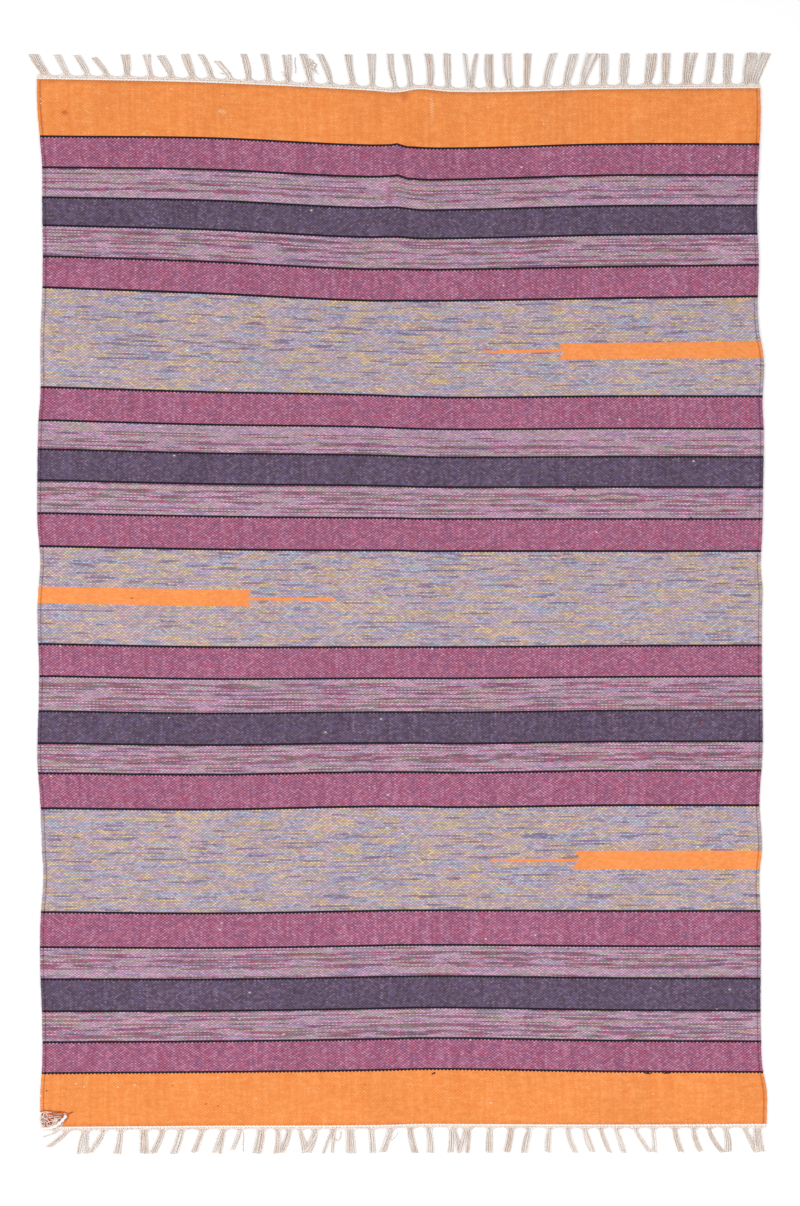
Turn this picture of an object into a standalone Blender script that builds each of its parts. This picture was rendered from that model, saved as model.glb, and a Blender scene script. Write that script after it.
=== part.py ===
# A striped flat-woven kilim rug lying flat, face up: +X across the width, +Y along
# the length towards the far fringe, +Z up. It rests on z = 0 and is centred on the
# origin. Sizes and tables are in millimetres.

import random
from collections import namedtuple

import bmesh
import bpy

MM = 0.001

# Cloth
CLOTH_THICK = 4.0
SELVEDGE_WIDTH = 5.4
SELVEDGE_THICK = 5.0
SELVEDGE_BELLY = 2.5         # height at which its side stands out furthest
GROOVE_THICK = 3.4           # the pressed line between a selvedge and the field
FIELD_INWARD = 9.2           # where the field has its full thickness
SECTION_LENGTH = 60.0        # about how far apart the cross sections are
WIDEST_COLUMN = 150.0        # a wider gap in the sag table gets a column of its own
FAR_END_ALONG = 871.7        # where the woven rows begin, measured from mid rug
CUTTER_REACH = 4.0           # how far the torn corner's cutter passes the cloth

# Heading, the narrow strip that the fringe hangs from
HEADING_GAP = 0.3
HEADING_WIDTH = 7.2
HEADING_INNER_THICK = 3.4
TWINED_CORD_THICK = 4.6
TWINED_CORD_PLACE = 0.36     # share of the heading's width
HEADING_SIDE_INSET = 1.0

# Fringe
STRAND_WIDTH = 2.3
STRAND_PITCH = 2.9
STRAND_THICK = 2.4
STRAND_TIP_THICK = 1.8
TIP_TAPER = 0.8
FAR_TIPS = (913.5, 916.0)    # the line the tips are trimmed to, at its left and right
NEAR_TIPS = (-916.5, -913.0)
TIP_LINE_SPAN = 1200.0
TRIM_UNEVEN = 2.4            # how much shorter than that line a bundle may be
TIP_SPREAD = (1.05, 1.45)    # width of a bundle's tips, as a share of its roots
STRAND_STEPS = (0.34, 0.7, 1.0)
LEAN_CURVE = 1.25            # above 1 a strand leaves its root straight and leans later
SHAPE_SEED = 41

COLOURS = {
    "orange": (0.88, 0.27, 0.075, 1.0),
    "plum": (0.38, 0.105, 0.22, 1.0),
    "pink": (0.58, 0.36, 0.54, 1.0),
    "aubergine": (0.105, 0.062, 0.115, 1.0),
    "grey": (0.42, 0.37, 0.45, 1.0),
    "cotton": (0.72, 0.62, 0.52, 1.0),
}
CLOTH_ROUGHNESS = 0.9

Band = namedtuple("Band", "yarn length")
BANDS = (
    Band("orange", 94.7),
    Band("plum", 51.5),
    Band("pink", 49.9),
    Band("aubergine", 46.5),
    Band("pink", 51.5),
    Band("plum", 51.5),
    Band("grey", 166.2),
    Band("plum", 54.8),
    Band("pink", 48.2),
    Band("aubergine", 51.5),
    Band("pink", 54.8),
    Band("plum", 54.8),
    Band("grey", 162.9),
    Band("plum", 53.2),
    Band("pink", 58.2),
    Band("aubergine", 53.2),
    Band("pink", 49.9),
    Band("plum", 58.2),
    Band("grey", 172.8),
    Band("plum", 58.2),
    Band("pink", 53.2),
    Band("aubergine", 53.2),
    Band("pink", 51.5),
    Band("plum", 51.5),
    Band("orange", 89.7),
)

# The sides wander a little where the tension of the weft changed. `row` is the
# distance woven from the far end.
Side = namedtuple("Side", "row left right")
SIDES = (
    Side(0, -605, 598),
    Side(48, -604, 599),
    Side(95, -600, 597),
    Side(146, -596, 595),
    Side(208, -596, 593),
    Side(294, -595, 596),
    Side(367, -596, 594),
    Side(407, -598, 597),
    Side(447, -599, 604),
    Side(527, -599, 602),
    Side(567, -602, 604),
    Side(666, -604, 603),
    Side(733, -604, 602),
    Side(806, -599, 599),
    Side(846, -602, 602),
    Side(886, -604, 601),
    Side(986, -601, 601),
    Side(1045, -602, 602),
    Side(1125, -604, 602),
    Side(1205, -599, 597),
    Side(1285, -596, 601),
    Side(1325, -594, 597),
    Side(1404, -599, 599),
    Side(1484, -599, 599),
    Side(1564, -596, 599),
    Side(1644, -596, 602),
    Side(1684, -599, 609),
    Side(1742, -598, 609),
)

# How far the rows sag below their left end, at eight places across.
SAG_PLACES = (-583, -317, -51, -5, 30, 82, 348, 581)
Sag = namedtuple("Sag", "row drops")
SAGS = (
    Sag(0, (0, 6, 19, 22, 17, 21, 17, 15)),
    Sag(95, (0, 3, 15, 15, 19, 20, 13, 13)),
    Sag(346, (0, 10, 22, 22, 22, 22, 18, 15)),
    Sag(512, (0, 8, 13, 15, 16, 17, 15, 15)),
    Sag(776, (0, 5, 7, 7, 8, 8, 8, 8)),
    Sag(939, (0, 5, 5, 5, 5, 5, 3, 2)),
    Sag(1212, (0, 2, -3, -3, -3, -2, -5, -5)),
    Sag(1384, (0, 2, -2, -3, -3, -3, -2, -2)),
    Sag(1652, (0, -2, -5, -6, -7, -7, -3, -2)),
    Sag(1742, (0, -2, -3, -4, -5, -5, -4, -5)),
)

# The near left corner is torn: the outline of the missing bit, from the side
# edge round to the end edge, as distances in from the cloth's own corner.
Tear = namedtuple("Tear", "inward upward")
TEAR = (
    Tear(-14, 26),
    Tear(3, 25),
    Tear(15, 27),
    Tear(27, 24),
    Tear(38, 24),
    Tear(45, 19),
    Tear(40, 11),
    Tear(33, -1),
    Tear(30, -14),
    Tear(-14, -14),
)

# The fringe hangs in gathered bundles of warp ends. Each zone spaces its bundles
# evenly between `first` and `last` across, and `leans` says how far each
# bundle's tips lie to the side of its root.
Zone = namedtuple("Zone", "first last strands leans")
Cell = namedtuple("Cell", "spans outer inner lean spread short")
FAR_ZONES = (
    Zone(-595, -595, 4, (-17,)),
    Zone(-556, -456, 3, (-15, -17, -22, -3)),
    Zone(-415, -253, 3, (-7, -18, -12, -17, -22, -8)),
    Zone(-218, -79, 3, (-8, -3, -12, -17, -8)),
    Zone(-47, 79, 3, (-1, -8, -7, -3, -2)),
    Zone(116, 242, 3, (0, -2, -4, 2, 13)),
    Zone(275, 411, 3, (13, 18, 2, 3, 7)),
    Zone(440, 543, 3, (2, 7, 7, 2)),
    Zone(577, 590, 4, (8, 18)),
)
NEAR_ZONES = (
    Zone(-556, -466, 3, (-28, -5, -20, -6)),
    Zone(-427, -296, 3, (0, -13, -12, -13, -10)),
    Zone(-268, -204, 3, (-10, -7, -3)),
    Zone(-183, -142, 3, (-12, -2, -8)),
    Zone(-112, 47, 3, (-8, 2, 3, -10, 8, 3)),
    Zone(86, 111, 3, (3, -5)),
    Zone(149, 248, 3, (-1, -7, -8, -2)),
    Zone(278, 359, 3, (13, 13, 14, 12)),
    Zone(391, 541, 3, (18, 3, 11, 12, 18, 4)),
    Zone(572, 596, 4, (12, 4)),
)

# Bare warp ends that stand up from the near heading into the torn corner.
Fray = namedtuple("Fray", "root lean length")
FRAYS = (
    Fray(-592, -1, 16),
    Fray(-586, 0, 20),
    Fray(-580, 2, 15),
    Fray(-574, 1, 18),
    Fray(-568, 4, 9),
)


def smooth_value(places, values, at):
    """A smooth curve through the table's rows, level beyond its two ends."""
    if at <= places[0]:
        return values[0]
    if at >= places[-1]:
        return values[-1]
    i = max(k for k in range(len(places) - 1) if places[k] <= at)
    gaps = [(values[k + 1] - values[k]) / (places[k + 1] - places[k]) for k in range(len(places) - 1)]
    start = gaps[i] if i == 0 else (gaps[i - 1] + gaps[i]) / 2
    end = gaps[i] if i == len(gaps) - 1 else (gaps[i] + gaps[i + 1]) / 2
    span = places[i + 1] - places[i]
    t = (at - places[i]) / span
    rise = t * t * (3 - 2 * t)
    hold = t * (1 - t)
    return values[i] + (values[i + 1] - values[i]) * rise + span * hold * (start * (1 - t) - end * t)


SIDE_ROWS = [side.row for side in SIDES]
SAG_ROWS = [sag.row for sag in SAGS]
CLOTH_LENGTH = sum(band.length for band in BANDS)


def left_edge(row):
    return smooth_value(SIDE_ROWS, [side.left for side in SIDES], row)


def right_edge(row):
    return smooth_value(SIDE_ROWS, [side.right for side in SIDES], row)


def row_along(row, across):
    """The place along the rug of a woven row, where it passes `across`."""
    drops = [smooth_value(SAG_PLACES, sag.drops, across) for sag in SAGS]
    return FAR_END_ALONG - row - smooth_value(SAG_ROWS, drops, row)


def chord_along(row, across):
    """Like row_along, on the straight stretches between the cloth's own columns."""
    places = [x for x, _ in cloth_columns(left_edge(row), right_edge(row))]
    k = max(i for i in range(len(places) - 1) if i == 0 or places[i] <= across)
    share = (across - places[k]) / (places[k + 1] - places[k])
    return row_along(row, places[k]) * (1 - share) + row_along(row, places[k + 1]) * share


def make_material(name, colour):
    material = bpy.data.materials.new(name)
    material.use_nodes = True
    shader = material.node_tree.nodes["Principled BSDF"]
    shader.inputs["Base Color"].default_value = colour
    shader.inputs["Roughness"].default_value = CLOTH_ROUGHNESS
    shader.inputs["Metallic"].default_value = 0.0
    return material


def make_object(name, bm, materials):
    """Turns a millimetre mesh into a named object with its faces pointing out."""
    bmesh.ops.recalc_face_normals(bm, faces=bm.faces[:])
    bmesh.ops.scale(bm, vec=(MM, MM, MM), verts=bm.verts[:])
    mesh = bpy.data.meshes.new(name)
    bm.to_mesh(mesh)
    bm.free()
    for material in materials:
        mesh.materials.append(material)
    obj = bpy.data.objects.new(name, mesh)
    bpy.context.scene.collection.objects.link(obj)
    return obj


def cloth_sections():
    """(row, yarn woven up to it) for each section line, more than one to a wide band."""
    sections = [(0.0, BANDS[0].yarn)]
    row = 0.0
    for band in BANDS:
        parts = max(1, round(band.length / SECTION_LENGTH))
        for part in range(1, parts + 1):
            sections.append((row + band.length * part / parts, band.yarn))
        row += band.length
    return sections


def cloth_columns(left, right):
    """(across, height) over the top of one section, selvedge to selvedge."""
    rim = (
        (0.0, SELVEDGE_BELLY),
        (SELVEDGE_WIDTH / 2, SELVEDGE_THICK),
        (SELVEDGE_WIDTH, GROOVE_THICK),
        (FIELD_INWARD, CLOTH_THICK),
    )
    columns = [(left + inward, height) for inward, height in rim]
    for before, place in zip(SAG_PLACES, SAG_PLACES[1:]):
        if place - before > WIDEST_COLUMN:
            columns.append(((before + place) / 2, CLOTH_THICK))
        if place < SAG_PLACES[-1]:
            columns.append((place, CLOTH_THICK))
    columns += [(right - inward, height) for inward, height in reversed(rim)]
    return columns


def make_tear_cutter():
    """A prism of the torn-off corner, taller than the cloth."""
    bm = bmesh.new()
    corner_across = left_edge(CLOTH_LENGTH)
    corner_along = row_along(CLOTH_LENGTH, corner_across)
    base = [
        bm.verts.new((corner_across + tear.inward, corner_along + tear.upward, -CUTTER_REACH))
        for tear in TEAR
    ]
    face = bm.faces.new(base)
    grown = bmesh.ops.extrude_face_region(bm, geom=[face])
    top = [item for item in grown["geom"] if isinstance(item, bmesh.types.BMVert)]
    bmesh.ops.translate(bm, vec=(0, 0, SELVEDGE_THICK + 2 * CUTTER_REACH), verts=top)
    cutter = make_object("torn_corner_cutter", bm, [])
    cutter.hide_render = True
    cutter.display_type = "WIRE"
    return cutter


def make_cloth():
    """The woven field with its two selvedges, one closed slab in bands of colour."""
    yarns = sorted({band.yarn for band in BANDS})
    materials = [make_material("weft_" + yarn, COLOURS[yarn]) for yarn in yarns]
    bm = bmesh.new()
    rings = []
    for row, _ in cloth_sections():
        columns = cloth_columns(left_edge(row), right_edge(row))
        upper = [bm.verts.new((x, row_along(row, x), z)) for x, z in columns]
        lower = [bm.verts.new((x, row_along(row, x), 0.0)) for x, _ in columns]
        rings.append(upper + lower[::-1])
    for (before, after), (_, yarn) in zip(zip(rings, rings[1:]), cloth_sections()[1:]):
        count = len(before)
        for k in range(count):
            n = (k + 1) % count
            face = bm.faces.new((before[k], before[n], after[n], after[k]))
            face.material_index = yarns.index(yarn)
    for ring in (rings[0], rings[-1]):
        half = len(ring) // 2
        for k in range(half - 1):
            face = bm.faces.new((ring[k], ring[k + 1], ring[-2 - k], ring[-1 - k]))
            face.material_index = yarns.index("orange")
    cloth = make_object("woven_cloth", bm, materials)
    cutter = make_tear_cutter()
    cut = cloth.modifiers.new("torn_corner", "BOOLEAN")
    cut.operation = "DIFFERENCE"
    cut.solver = "EXACT"
    cut.object = cutter
    return cloth


def add_fan(bm, first, second, chain):
    """Fills between two points and the chain of points that faces them."""
    middle = len(chain) // 2
    for k in range(middle - 1):
        bm.faces.new((first, chain[k], chain[k + 1]))
    bm.faces.new((first, chain[middle - 1], chain[middle], second))
    for k in range(middle, len(chain) - 1):
        bm.faces.new((second, chain[k], chain[k + 1]))


def root_spans(centre, strands):
    """(left, right) of each strand's root, side by side about a centre."""
    first = centre - STRAND_PITCH * (strands - 1) / 2
    middles = [first + STRAND_PITCH * k for k in range(strands)]
    return [(x - STRAND_WIDTH / 2, x + STRAND_WIDTH / 2) for x in middles]


def heading_cells(zones, frays, draw):
    """The stretches of a heading that carry strands, left to right."""
    cells = []
    for zone in zones:
        steps = max(1, len(zone.leans) - 1)
        for k, lean in enumerate(zone.leans):
            root = zone.first + (zone.last - zone.first) * k / steps
            spans = root_spans(root, zone.strands)
            spread = draw.uniform(*TIP_SPREAD)
            cells.append(Cell(spans, spans, [], lean, spread, draw.uniform(0, TRIM_UNEVEN)))
    for fray in frays:
        spans = root_spans(fray.root, 1)
        cells.append(Cell(spans, [], spans, fray.lean, 1.0, fray.length))
    return sorted(cells, key=lambda cell: cell.spans[0][0])


class FringeMesh:
    """The flat plan of one heading and its strands, which is then given its height."""

    def __init__(self, row, side):
        self.row = row
        self.side = side
        self.bm = bmesh.new()
        self.height = self.bm.verts.layers.float.new("height")
        self.bends = [x for x, _ in cloth_columns(left_edge(row), right_edge(row))]

    def vert(self, across, along, height):
        vert = self.bm.verts.new((across, along, 0))
        vert[self.height] = height
        return vert

    def edge_vert(self, across, outward, height):
        along = chord_along(self.row, across) + self.side * (HEADING_GAP + outward)
        return self.vert(across, along, height)

    def edge_verts(self, spans, outward, height):
        return [self.edge_vert(x, outward, height) for span in spans for x in span]

    def column(self, across):
        """Three points across the heading: cloth side, twined cord, fringe side."""
        return (
            self.edge_vert(across, 0.0, HEADING_INNER_THICK),
            self.edge_vert(across, HEADING_WIDTH * TWINED_CORD_PLACE, TWINED_CORD_THICK),
            self.edge_vert(across, HEADING_WIDTH, STRAND_THICK),
        )

    def fill(self, left, right, inner=(), outer=()):
        """Fills the heading between two columns, through any roots on its edges.

        The side by the cloth turns wherever the cloth's own edge does.
        """
        bends = [x for x in self.bends if left[0].co.x < x < right[0].co.x]
        inner = inner or [self.edge_vert(x, 0.0, HEADING_INNER_THICK) for x in bends]
        add_fan(self.bm, left[1], right[1], [left[0], *inner, right[0]])
        add_fan(self.bm, left[1], right[1], [left[2], *outer, right[2]])

    def strand(self, root, lean, tip_along):
        """A strip of quads from a root edge to its tip, bent over as it leaves."""
        middle = (root[0].co.x + root[1].co.x) / 2
        start = root[0].co.y
        before = root
        for step in STRAND_STEPS:
            across = middle + lean * step ** LEAN_CURVE
            along = start + (tip_along - start) * step
            half = STRAND_WIDTH / 2 * (1 + (TIP_TAPER - 1) * step)
            height = STRAND_THICK + (STRAND_TIP_THICK - STRAND_THICK) * step
            after = [self.vert(across + way * half, along, height) for way in (-1, 1)]
            self.bm.faces.new((before[0], before[1], after[1], after[0]))
            before = after

    def raise_plan(self):
        grown = bmesh.ops.extrude_face_region(self.bm, geom=self.bm.faces[:])
        for item in grown["geom"]:
            if isinstance(item, bmesh.types.BMVert):
                item.co.z = item[self.height]


def make_fringe(name, row, side, zones, frays, tips, material):
    """The heading along one end, with its bundles of strands, level on the floor.

    `side` is +1 at the far end and -1 at the near end.
    """
    draw = random.Random(SHAPE_SEED + side)
    plan = FringeMesh(row, side)
    before = plan.column(left_edge(row) + HEADING_SIDE_INSET)
    margin = (STRAND_PITCH - STRAND_WIDTH) / 2
    for cell in heading_cells(zones, frays, draw):
        start = plan.column(cell.spans[0][0] - margin)
        end = plan.column(cell.spans[-1][1] + margin)
        outer = plan.edge_verts(cell.outer, HEADING_WIDTH, STRAND_THICK)
        inner = plan.edge_verts(cell.inner, 0.0, HEADING_INNER_THICK)
        plan.fill(before, start)
        plan.fill(start, end, inner, outer)
        centre = (cell.spans[0][0] + cell.spans[-1][1]) / 2
        tip_line = (tips[0] + tips[1]) / 2 + (tips[1] - tips[0]) * centre / TIP_LINE_SPAN
        for k, span in enumerate(cell.outer):
            fanned = ((span[0] + span[1]) / 2 - centre) * (cell.spread - 1)
            short = cell.short + draw.uniform(0, TRIM_UNEVEN / 2)
            plan.strand(outer[2 * k:2 * k + 2], cell.lean + fanned, tip_line - side * short)
        if cell.inner:
            plan.strand(inner, cell.lean, inner[0].co.y - side * cell.short)
        before = end
    plan.fill(before, plan.column(right_edge(row) - HEADING_SIDE_INSET))
    plan.raise_plan()
    return make_object(name, plan.bm, [material])


def centre_on_floor(objects):
    """Moves every mesh so that the rug's box is centred on the origin and on z = 0."""
    points = [vert.co for obj in objects for vert in obj.data.vertices]
    shift = [-(min(p[k] for p in points) + max(p[k] for p in points)) / 2 for k in (0, 1)]
    shift.append(-min(p[2] for p in points))
    for obj in bpy.context.scene.collection.objects:
        for vert in obj.data.vertices:
            vert.co.x += shift[0]
            vert.co.y += shift[1]
            vert.co.z += shift[2]


def main():
    for obj in list(bpy.data.objects):
        bpy.data.objects.remove(obj, do_unlink=True)
    cotton = make_material("warp_cotton", COLOURS["cotton"])
    rug = [
        make_cloth(),
        make_fringe("fringe_far", 0.0, 1, FAR_ZONES, (), FAR_TIPS, cotton),
        make_fringe("fringe_near", CLOTH_LENGTH, -1, NEAR_ZONES, FRAYS, NEAR_TIPS, cotton),
    ]
    centre_on_floor(rug)


main()
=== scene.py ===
import math
import random

import bpy
import numpy as np
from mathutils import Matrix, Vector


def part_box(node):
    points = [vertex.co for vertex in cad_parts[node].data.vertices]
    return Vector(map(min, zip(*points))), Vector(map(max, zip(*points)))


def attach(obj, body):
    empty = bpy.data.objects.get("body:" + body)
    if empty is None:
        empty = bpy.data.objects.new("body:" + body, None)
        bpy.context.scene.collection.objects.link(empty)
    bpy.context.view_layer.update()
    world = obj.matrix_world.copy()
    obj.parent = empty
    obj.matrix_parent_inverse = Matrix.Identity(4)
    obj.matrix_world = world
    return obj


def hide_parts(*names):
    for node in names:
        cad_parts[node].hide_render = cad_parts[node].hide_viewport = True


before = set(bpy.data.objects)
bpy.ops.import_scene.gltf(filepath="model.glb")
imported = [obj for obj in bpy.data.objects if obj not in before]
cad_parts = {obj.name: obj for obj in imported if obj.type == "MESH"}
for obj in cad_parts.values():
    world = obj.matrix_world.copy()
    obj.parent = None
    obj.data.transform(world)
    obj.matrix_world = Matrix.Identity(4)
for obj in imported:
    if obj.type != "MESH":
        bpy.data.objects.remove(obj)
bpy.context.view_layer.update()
clothLow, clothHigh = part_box("woven_cloth")
bpy.ops.object.select_all(action="DESELECT")
print("frame loaded:", ", ".join(sorted(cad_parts)))

mm = 0.001

# The rug's plan, in mm. A row is one pick of weft, counted from the far end.
rugPlan = {
    "warps": 393,
    "width": 1200,
    "selvedge": 5.4,
    "stripes": [  # yarn, rows, length
        ("orange", 42, 94.7), ("plum", 23, 51.5), ("pink", 22, 49.9), ("aubergine", 21, 46.5),
        ("pink", 23, 51.5), ("plum", 23, 51.5), ("grey", 66, 166.2), ("plum", 24, 54.8),
        ("pink", 22, 48.2), ("aubergine", 23, 51.5), ("pink", 24, 54.8), ("plum", 25, 54.8),
        ("grey", 65, 162.9), ("plum", 24, 53.2), ("pink", 26, 58.2), ("aubergine", 24, 53.2),
        ("pink", 22, 49.9), ("plum", 26, 58.2), ("grey", 69, 172.8), ("plum", 26, 58.2),
        ("pink", 24, 53.2), ("aubergine", 24, 53.2), ("pink", 23, 51.5), ("plum", 23, 51.5),
        ("orange", 40, 89.7),
    ],
    "sides": [  # length woven, left side, right side
        (0, -605, 598), (48, -604, 599), (95, -600, 597), (146, -596, 595),
        (208, -596, 593), (294, -595, 596), (367, -596, 594), (407, -598, 597),
        (447, -599, 604), (527, -599, 602), (567, -602, 604), (666, -604, 603),
        (733, -604, 602), (806, -599, 599), (846, -602, 602), (886, -604, 601),
        (986, -601, 601), (1045, -602, 602), (1125, -604, 602), (1205, -599, 597),
        (1285, -596, 601), (1325, -594, 597), (1404, -599, 599), (1484, -599, 599),
        (1564, -596, 599), (1644, -596, 602), (1684, -599, 609), (1742, -598, 609),
    ],
    "pleat": (-6.0, 12.0, 6.0, -2.0, 1.2),     # where the weft kinks up and then down, width, rise, drop
    "pleatReach": (25, 80, 150, 190),   # length woven where it starts, is full, and fades out
    "sagPlaces": (-583, -317, -51, -5, 30, 82, 348, 581),
    "sags": [  # length woven, how far the row has sunk at each of those places
        (0, (0, 6, 19, 22, 17, 21, 17, 15)),
        (95, (0, 3, 15, 15, 19, 20, 13, 13)),
        (346, (0, 10, 22, 22, 22, 22, 18, 15)),
        (512, (0, 8, 13, 15, 16, 17, 15, 15)),
        (776, (0, 5, 7, 7, 8, 8, 8, 8)),
        (939, (0, 5, 5, 5, 5, 5, 3, 2)),
        (1212, (0, 2, -3, -3, -3, -2, -5, -5)),
        (1384, (0, 2, -2, -3, -3, -3, -2, -2)),
        (1652, (0, -2, -5, -6, -7, -7, -3, -2)),
        (1742, (0, -2, -3, -4, -5, -5, -4, -5)),
    ],
}

stripeRows = [rows for _, rows, _ in rugPlan["stripes"]]
stripeLengths = [length for _, _, length in rugPlan["stripes"]]
rowMarks = np.concatenate(([0], np.cumsum(stripeRows)))
lengthMarks = np.concatenate(([0], np.cumsum(stripeLengths)))
lastRow = float(rowMarks[-1])


# A smooth curve through a table. The values may be one column or one for each point asked for.
def smoothCurve(places, values, at):
    places = np.array(places, float)
    at = np.clip(np.atleast_1d(np.asarray(at, float)), places[0], places[-1])
    values = np.array(values, float)
    if values.ndim == 1:
        values = np.repeat(values[:, None], at.size, axis=1)
    gaps = np.diff(values, axis=0) / np.diff(places)[:, None]
    slopes = np.vstack((gaps[:1], (gaps[:-1] + gaps[1:]) / 2, gaps[-1:]))
    i = np.clip(np.searchsorted(places, at, side="right") - 1, 0, len(places) - 2)
    each = np.arange(at.size)
    span = places[i + 1] - places[i]
    t = (at - places[i]) / span
    rise = t * t * (3 - 2 * t)
    hold = t * (1 - t) * span
    start, end = values[i, each], values[i + 1, each]
    return start + (end - start) * rise + hold * (slopes[i, each] * (1 - t) - slopes[i + 1, each] * t)


def wovenLength(row):
    return np.interp(row, rowMarks, lengthMarks)


leftSide, rightSide = 1, 2      # columns of the plan's sides


def sideAt(row, column):
    lengths = [side[0] for side in rugPlan["sides"]]
    return smoothCurve(lengths, [side[column] for side in rugPlan["sides"]], wovenLength(row))


# Where the far left end of the first row lies, in the rug's own frame.
midX = clothLow.x - float(sideAt(0, leftSide)[0]) * mm
farY = clothHigh.y


def pleatShare(row):
    return np.interp(wovenLength(row), rugPlan["pleatReach"], (0, 1, 1, 0))


# The weft kinks where the field was once creased, near the far end's middle.
def pleatDrop(row, across):
    up, down, width, rise, drop = rugPlan["pleat"]
    kink = rise * np.exp(-((across - up) / width) ** 2) + drop * np.exp(-((across - down) / width) ** 2)
    return kink * pleatShare(row)


# A row's place along the rug, in metres, where it passes `across` mm from the middle.
def rowY(row, across):
    across = np.atleast_1d(np.asarray(across, float))
    row = np.broadcast_to(np.asarray(row, float), across.shape)
    drops = [smoothCurve(rugPlan["sagPlaces"], drop, across) for _, drop in rugPlan["sags"]]
    sag = smoothCurve([length for length, _ in rugPlan["sags"]], drops, wovenLength(row))
    return farY - (wovenLength(row) + sag + pleatDrop(row, across)) * mm


def acrossX(across):
    return midX + np.asarray(across, float) * mm


# Turns a colour as seen on screen into the linear one that shaders take.
def shade(code):
    parts = [int(code[k:k + 2], 16) / 255 for k in (1, 3, 5)]
    return tuple(c / 12.92 if c <= 0.04045 else ((c + 0.055) / 1.055) ** 2.4 for c in parts) + (1.0,)


# Node helpers: a value is either another node's socket or a plain number, colour or vector.
# New nodes go into the tree that the sockets given are in.
def wire(value, socket):
    if isinstance(value, bpy.types.NodeSocket):
        socket.id_data.links.new(value, socket)
    else:
        socket.default_value = value


def treeOf(values):
    return next(value.id_data for value in values if isinstance(value, bpy.types.NodeSocket))


def addNode(tree, kind, inputs=None, **settings):
    node = tree.nodes.new(kind)
    for name, value in settings.items():
        setattr(node, name, value)
    for name, value in (inputs or {}).items():
        wire(value, node.inputs[name])
    return node


def calc(operation, *values, clamp=False):
    node = addNode(treeOf(values), "ShaderNodeMath", operation=operation, use_clamp=clamp)
    for socket, value in zip(node.inputs, values):
        wire(value, socket)
    return node.outputs[0]


def mathNode(operation):
    return lambda *values, **settings: calc(operation, *values, **settings)


plus, minus, times, over = (mathNode(word) for word in ("ADD", "SUBTRACT", "MULTIPLY", "DIVIDE"))
timesPlus, smaller, larger = (mathNode(word) for word in ("MULTIPLY_ADD", "MINIMUM", "MAXIMUM"))
isBelow, isAbove, sizeOf = (mathNode(word) for word in ("LESS_THAN", "GREATER_THAN", "ABSOLUTE"))


def vector(x, y, z=0.0):
    return addNode(treeOf((x, y, z)), "ShaderNodeCombineXYZ", {"X": x, "Y": y, "Z": z}).outputs[0]


def splitVector(value):
    return addNode(value.id_data, "ShaderNodeSeparateXYZ", {"Vector": value}).outputs


# A mix node has sockets for each kind of value, so they are found by number.
def mix(sockets, values, **settings):
    node = addNode(treeOf(values), "ShaderNodeMix", **settings)
    for number, value in zip(sockets, values):
        wire(value, node.inputs[number])
    return node


def mixColours(share, first, second, blend="MIX"):
    return mix((0, 6, 7), (share, first, second), data_type="RGBA", blend_type=blend).outputs[2]


def mixValues(share, first, second):
    return mix((0, 2, 3), (share, first, second), data_type="FLOAT").outputs[0]


def rescale(value, low, high, newLow, newHigh):
    names = ("Value", "From Min", "From Max", "To Min", "To Max")
    inputs = dict(zip(names, (value, low, high, newLow, newHigh)))
    return addNode(value.id_data, "ShaderNodeMapRange", inputs).outputs[0]


def colourRamp(value, stops, interpolation="LINEAR"):
    node = addNode(value.id_data, "ShaderNodeValToRGB", {"Fac": value})
    node.color_ramp.interpolation = interpolation
    points = node.color_ramp.elements
    while len(points) < len(stops):
        points.new(0.5)
    for point, (place, code) in zip(points, stops):
        point.position = place
        point.color = shade(code)
    return node.outputs["Color"]


# A fixed number as the last value keeps one draw apart from another.
def randomBy(x, y, z=0.0):
    place = vector(x, y, z)
    inputs = {"Vector": place}
    return addNode(place.id_data, "ShaderNodeTexWhiteNoise", inputs, noise_dimensions="3D").outputs["Value"]


def smoothNoise(x, y, scale=1.0, detail=1.0):
    place = vector(x, y)
    inputs = {"Vector": place, "Scale": scale, "Detail": detail}
    return addNode(place.id_data, "ShaderNodeTexNoise", inputs, noise_dimensions="2D").outputs[0]


# A group's inputs are given by what each holds at first: None for a vector, four numbers for
# a colour, or one number. Its outputs are numbers, apart from one called Color.
def newGroup(name, inputs, outputs):
    tree = bpy.data.node_groups.new(name, "ShaderNodeTree")
    for label, value in inputs.items():
        kind = "Vector" if value is None else "Color" if isinstance(value, tuple) else "Float"
        socket = tree.interface.new_socket(label, in_out="INPUT", socket_type="NodeSocket" + kind)
        if value is not None:
            socket.default_value = value
    for label in outputs:
        kind = "NodeSocketColor" if label == "Color" else "NodeSocketFloat"
        tree.interface.new_socket(label, in_out="OUTPUT", socket_type=kind)
    return tree, addNode(tree, "NodeGroupInput").outputs, addNode(tree, "NodeGroupOutput").inputs


def placeGroup(group, **inputs):
    return addNode(treeOf(inputs.values()), "ShaderNodeGroup", inputs, node_tree=group).outputs


def newMaterial(name, values):
    material = bpy.data.materials.new(name)
    material.use_nodes = True
    shader = material.node_tree.nodes["Principled BSDF"]
    for label, value in values.items():
        shader.inputs[label].default_value = value
    return material, shader


def readMap(material, name):
    return addNode(material.node_tree, "ShaderNodeUVMap", uv_map=name).outputs[0]


# The last step of a material: its colour, and its fine relief, with the depth in mm.
def finishMaterial(shader, colour, height, strength, depth):
    wire(colour, shader.inputs["Base Color"])
    inputs = {"Height": height, "Strength": strength, "Distance": depth * mm}
    wire(addNode(height.id_data, "ShaderNodeBump", inputs).outputs["Normal"], shader.inputs["Normal"])


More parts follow.
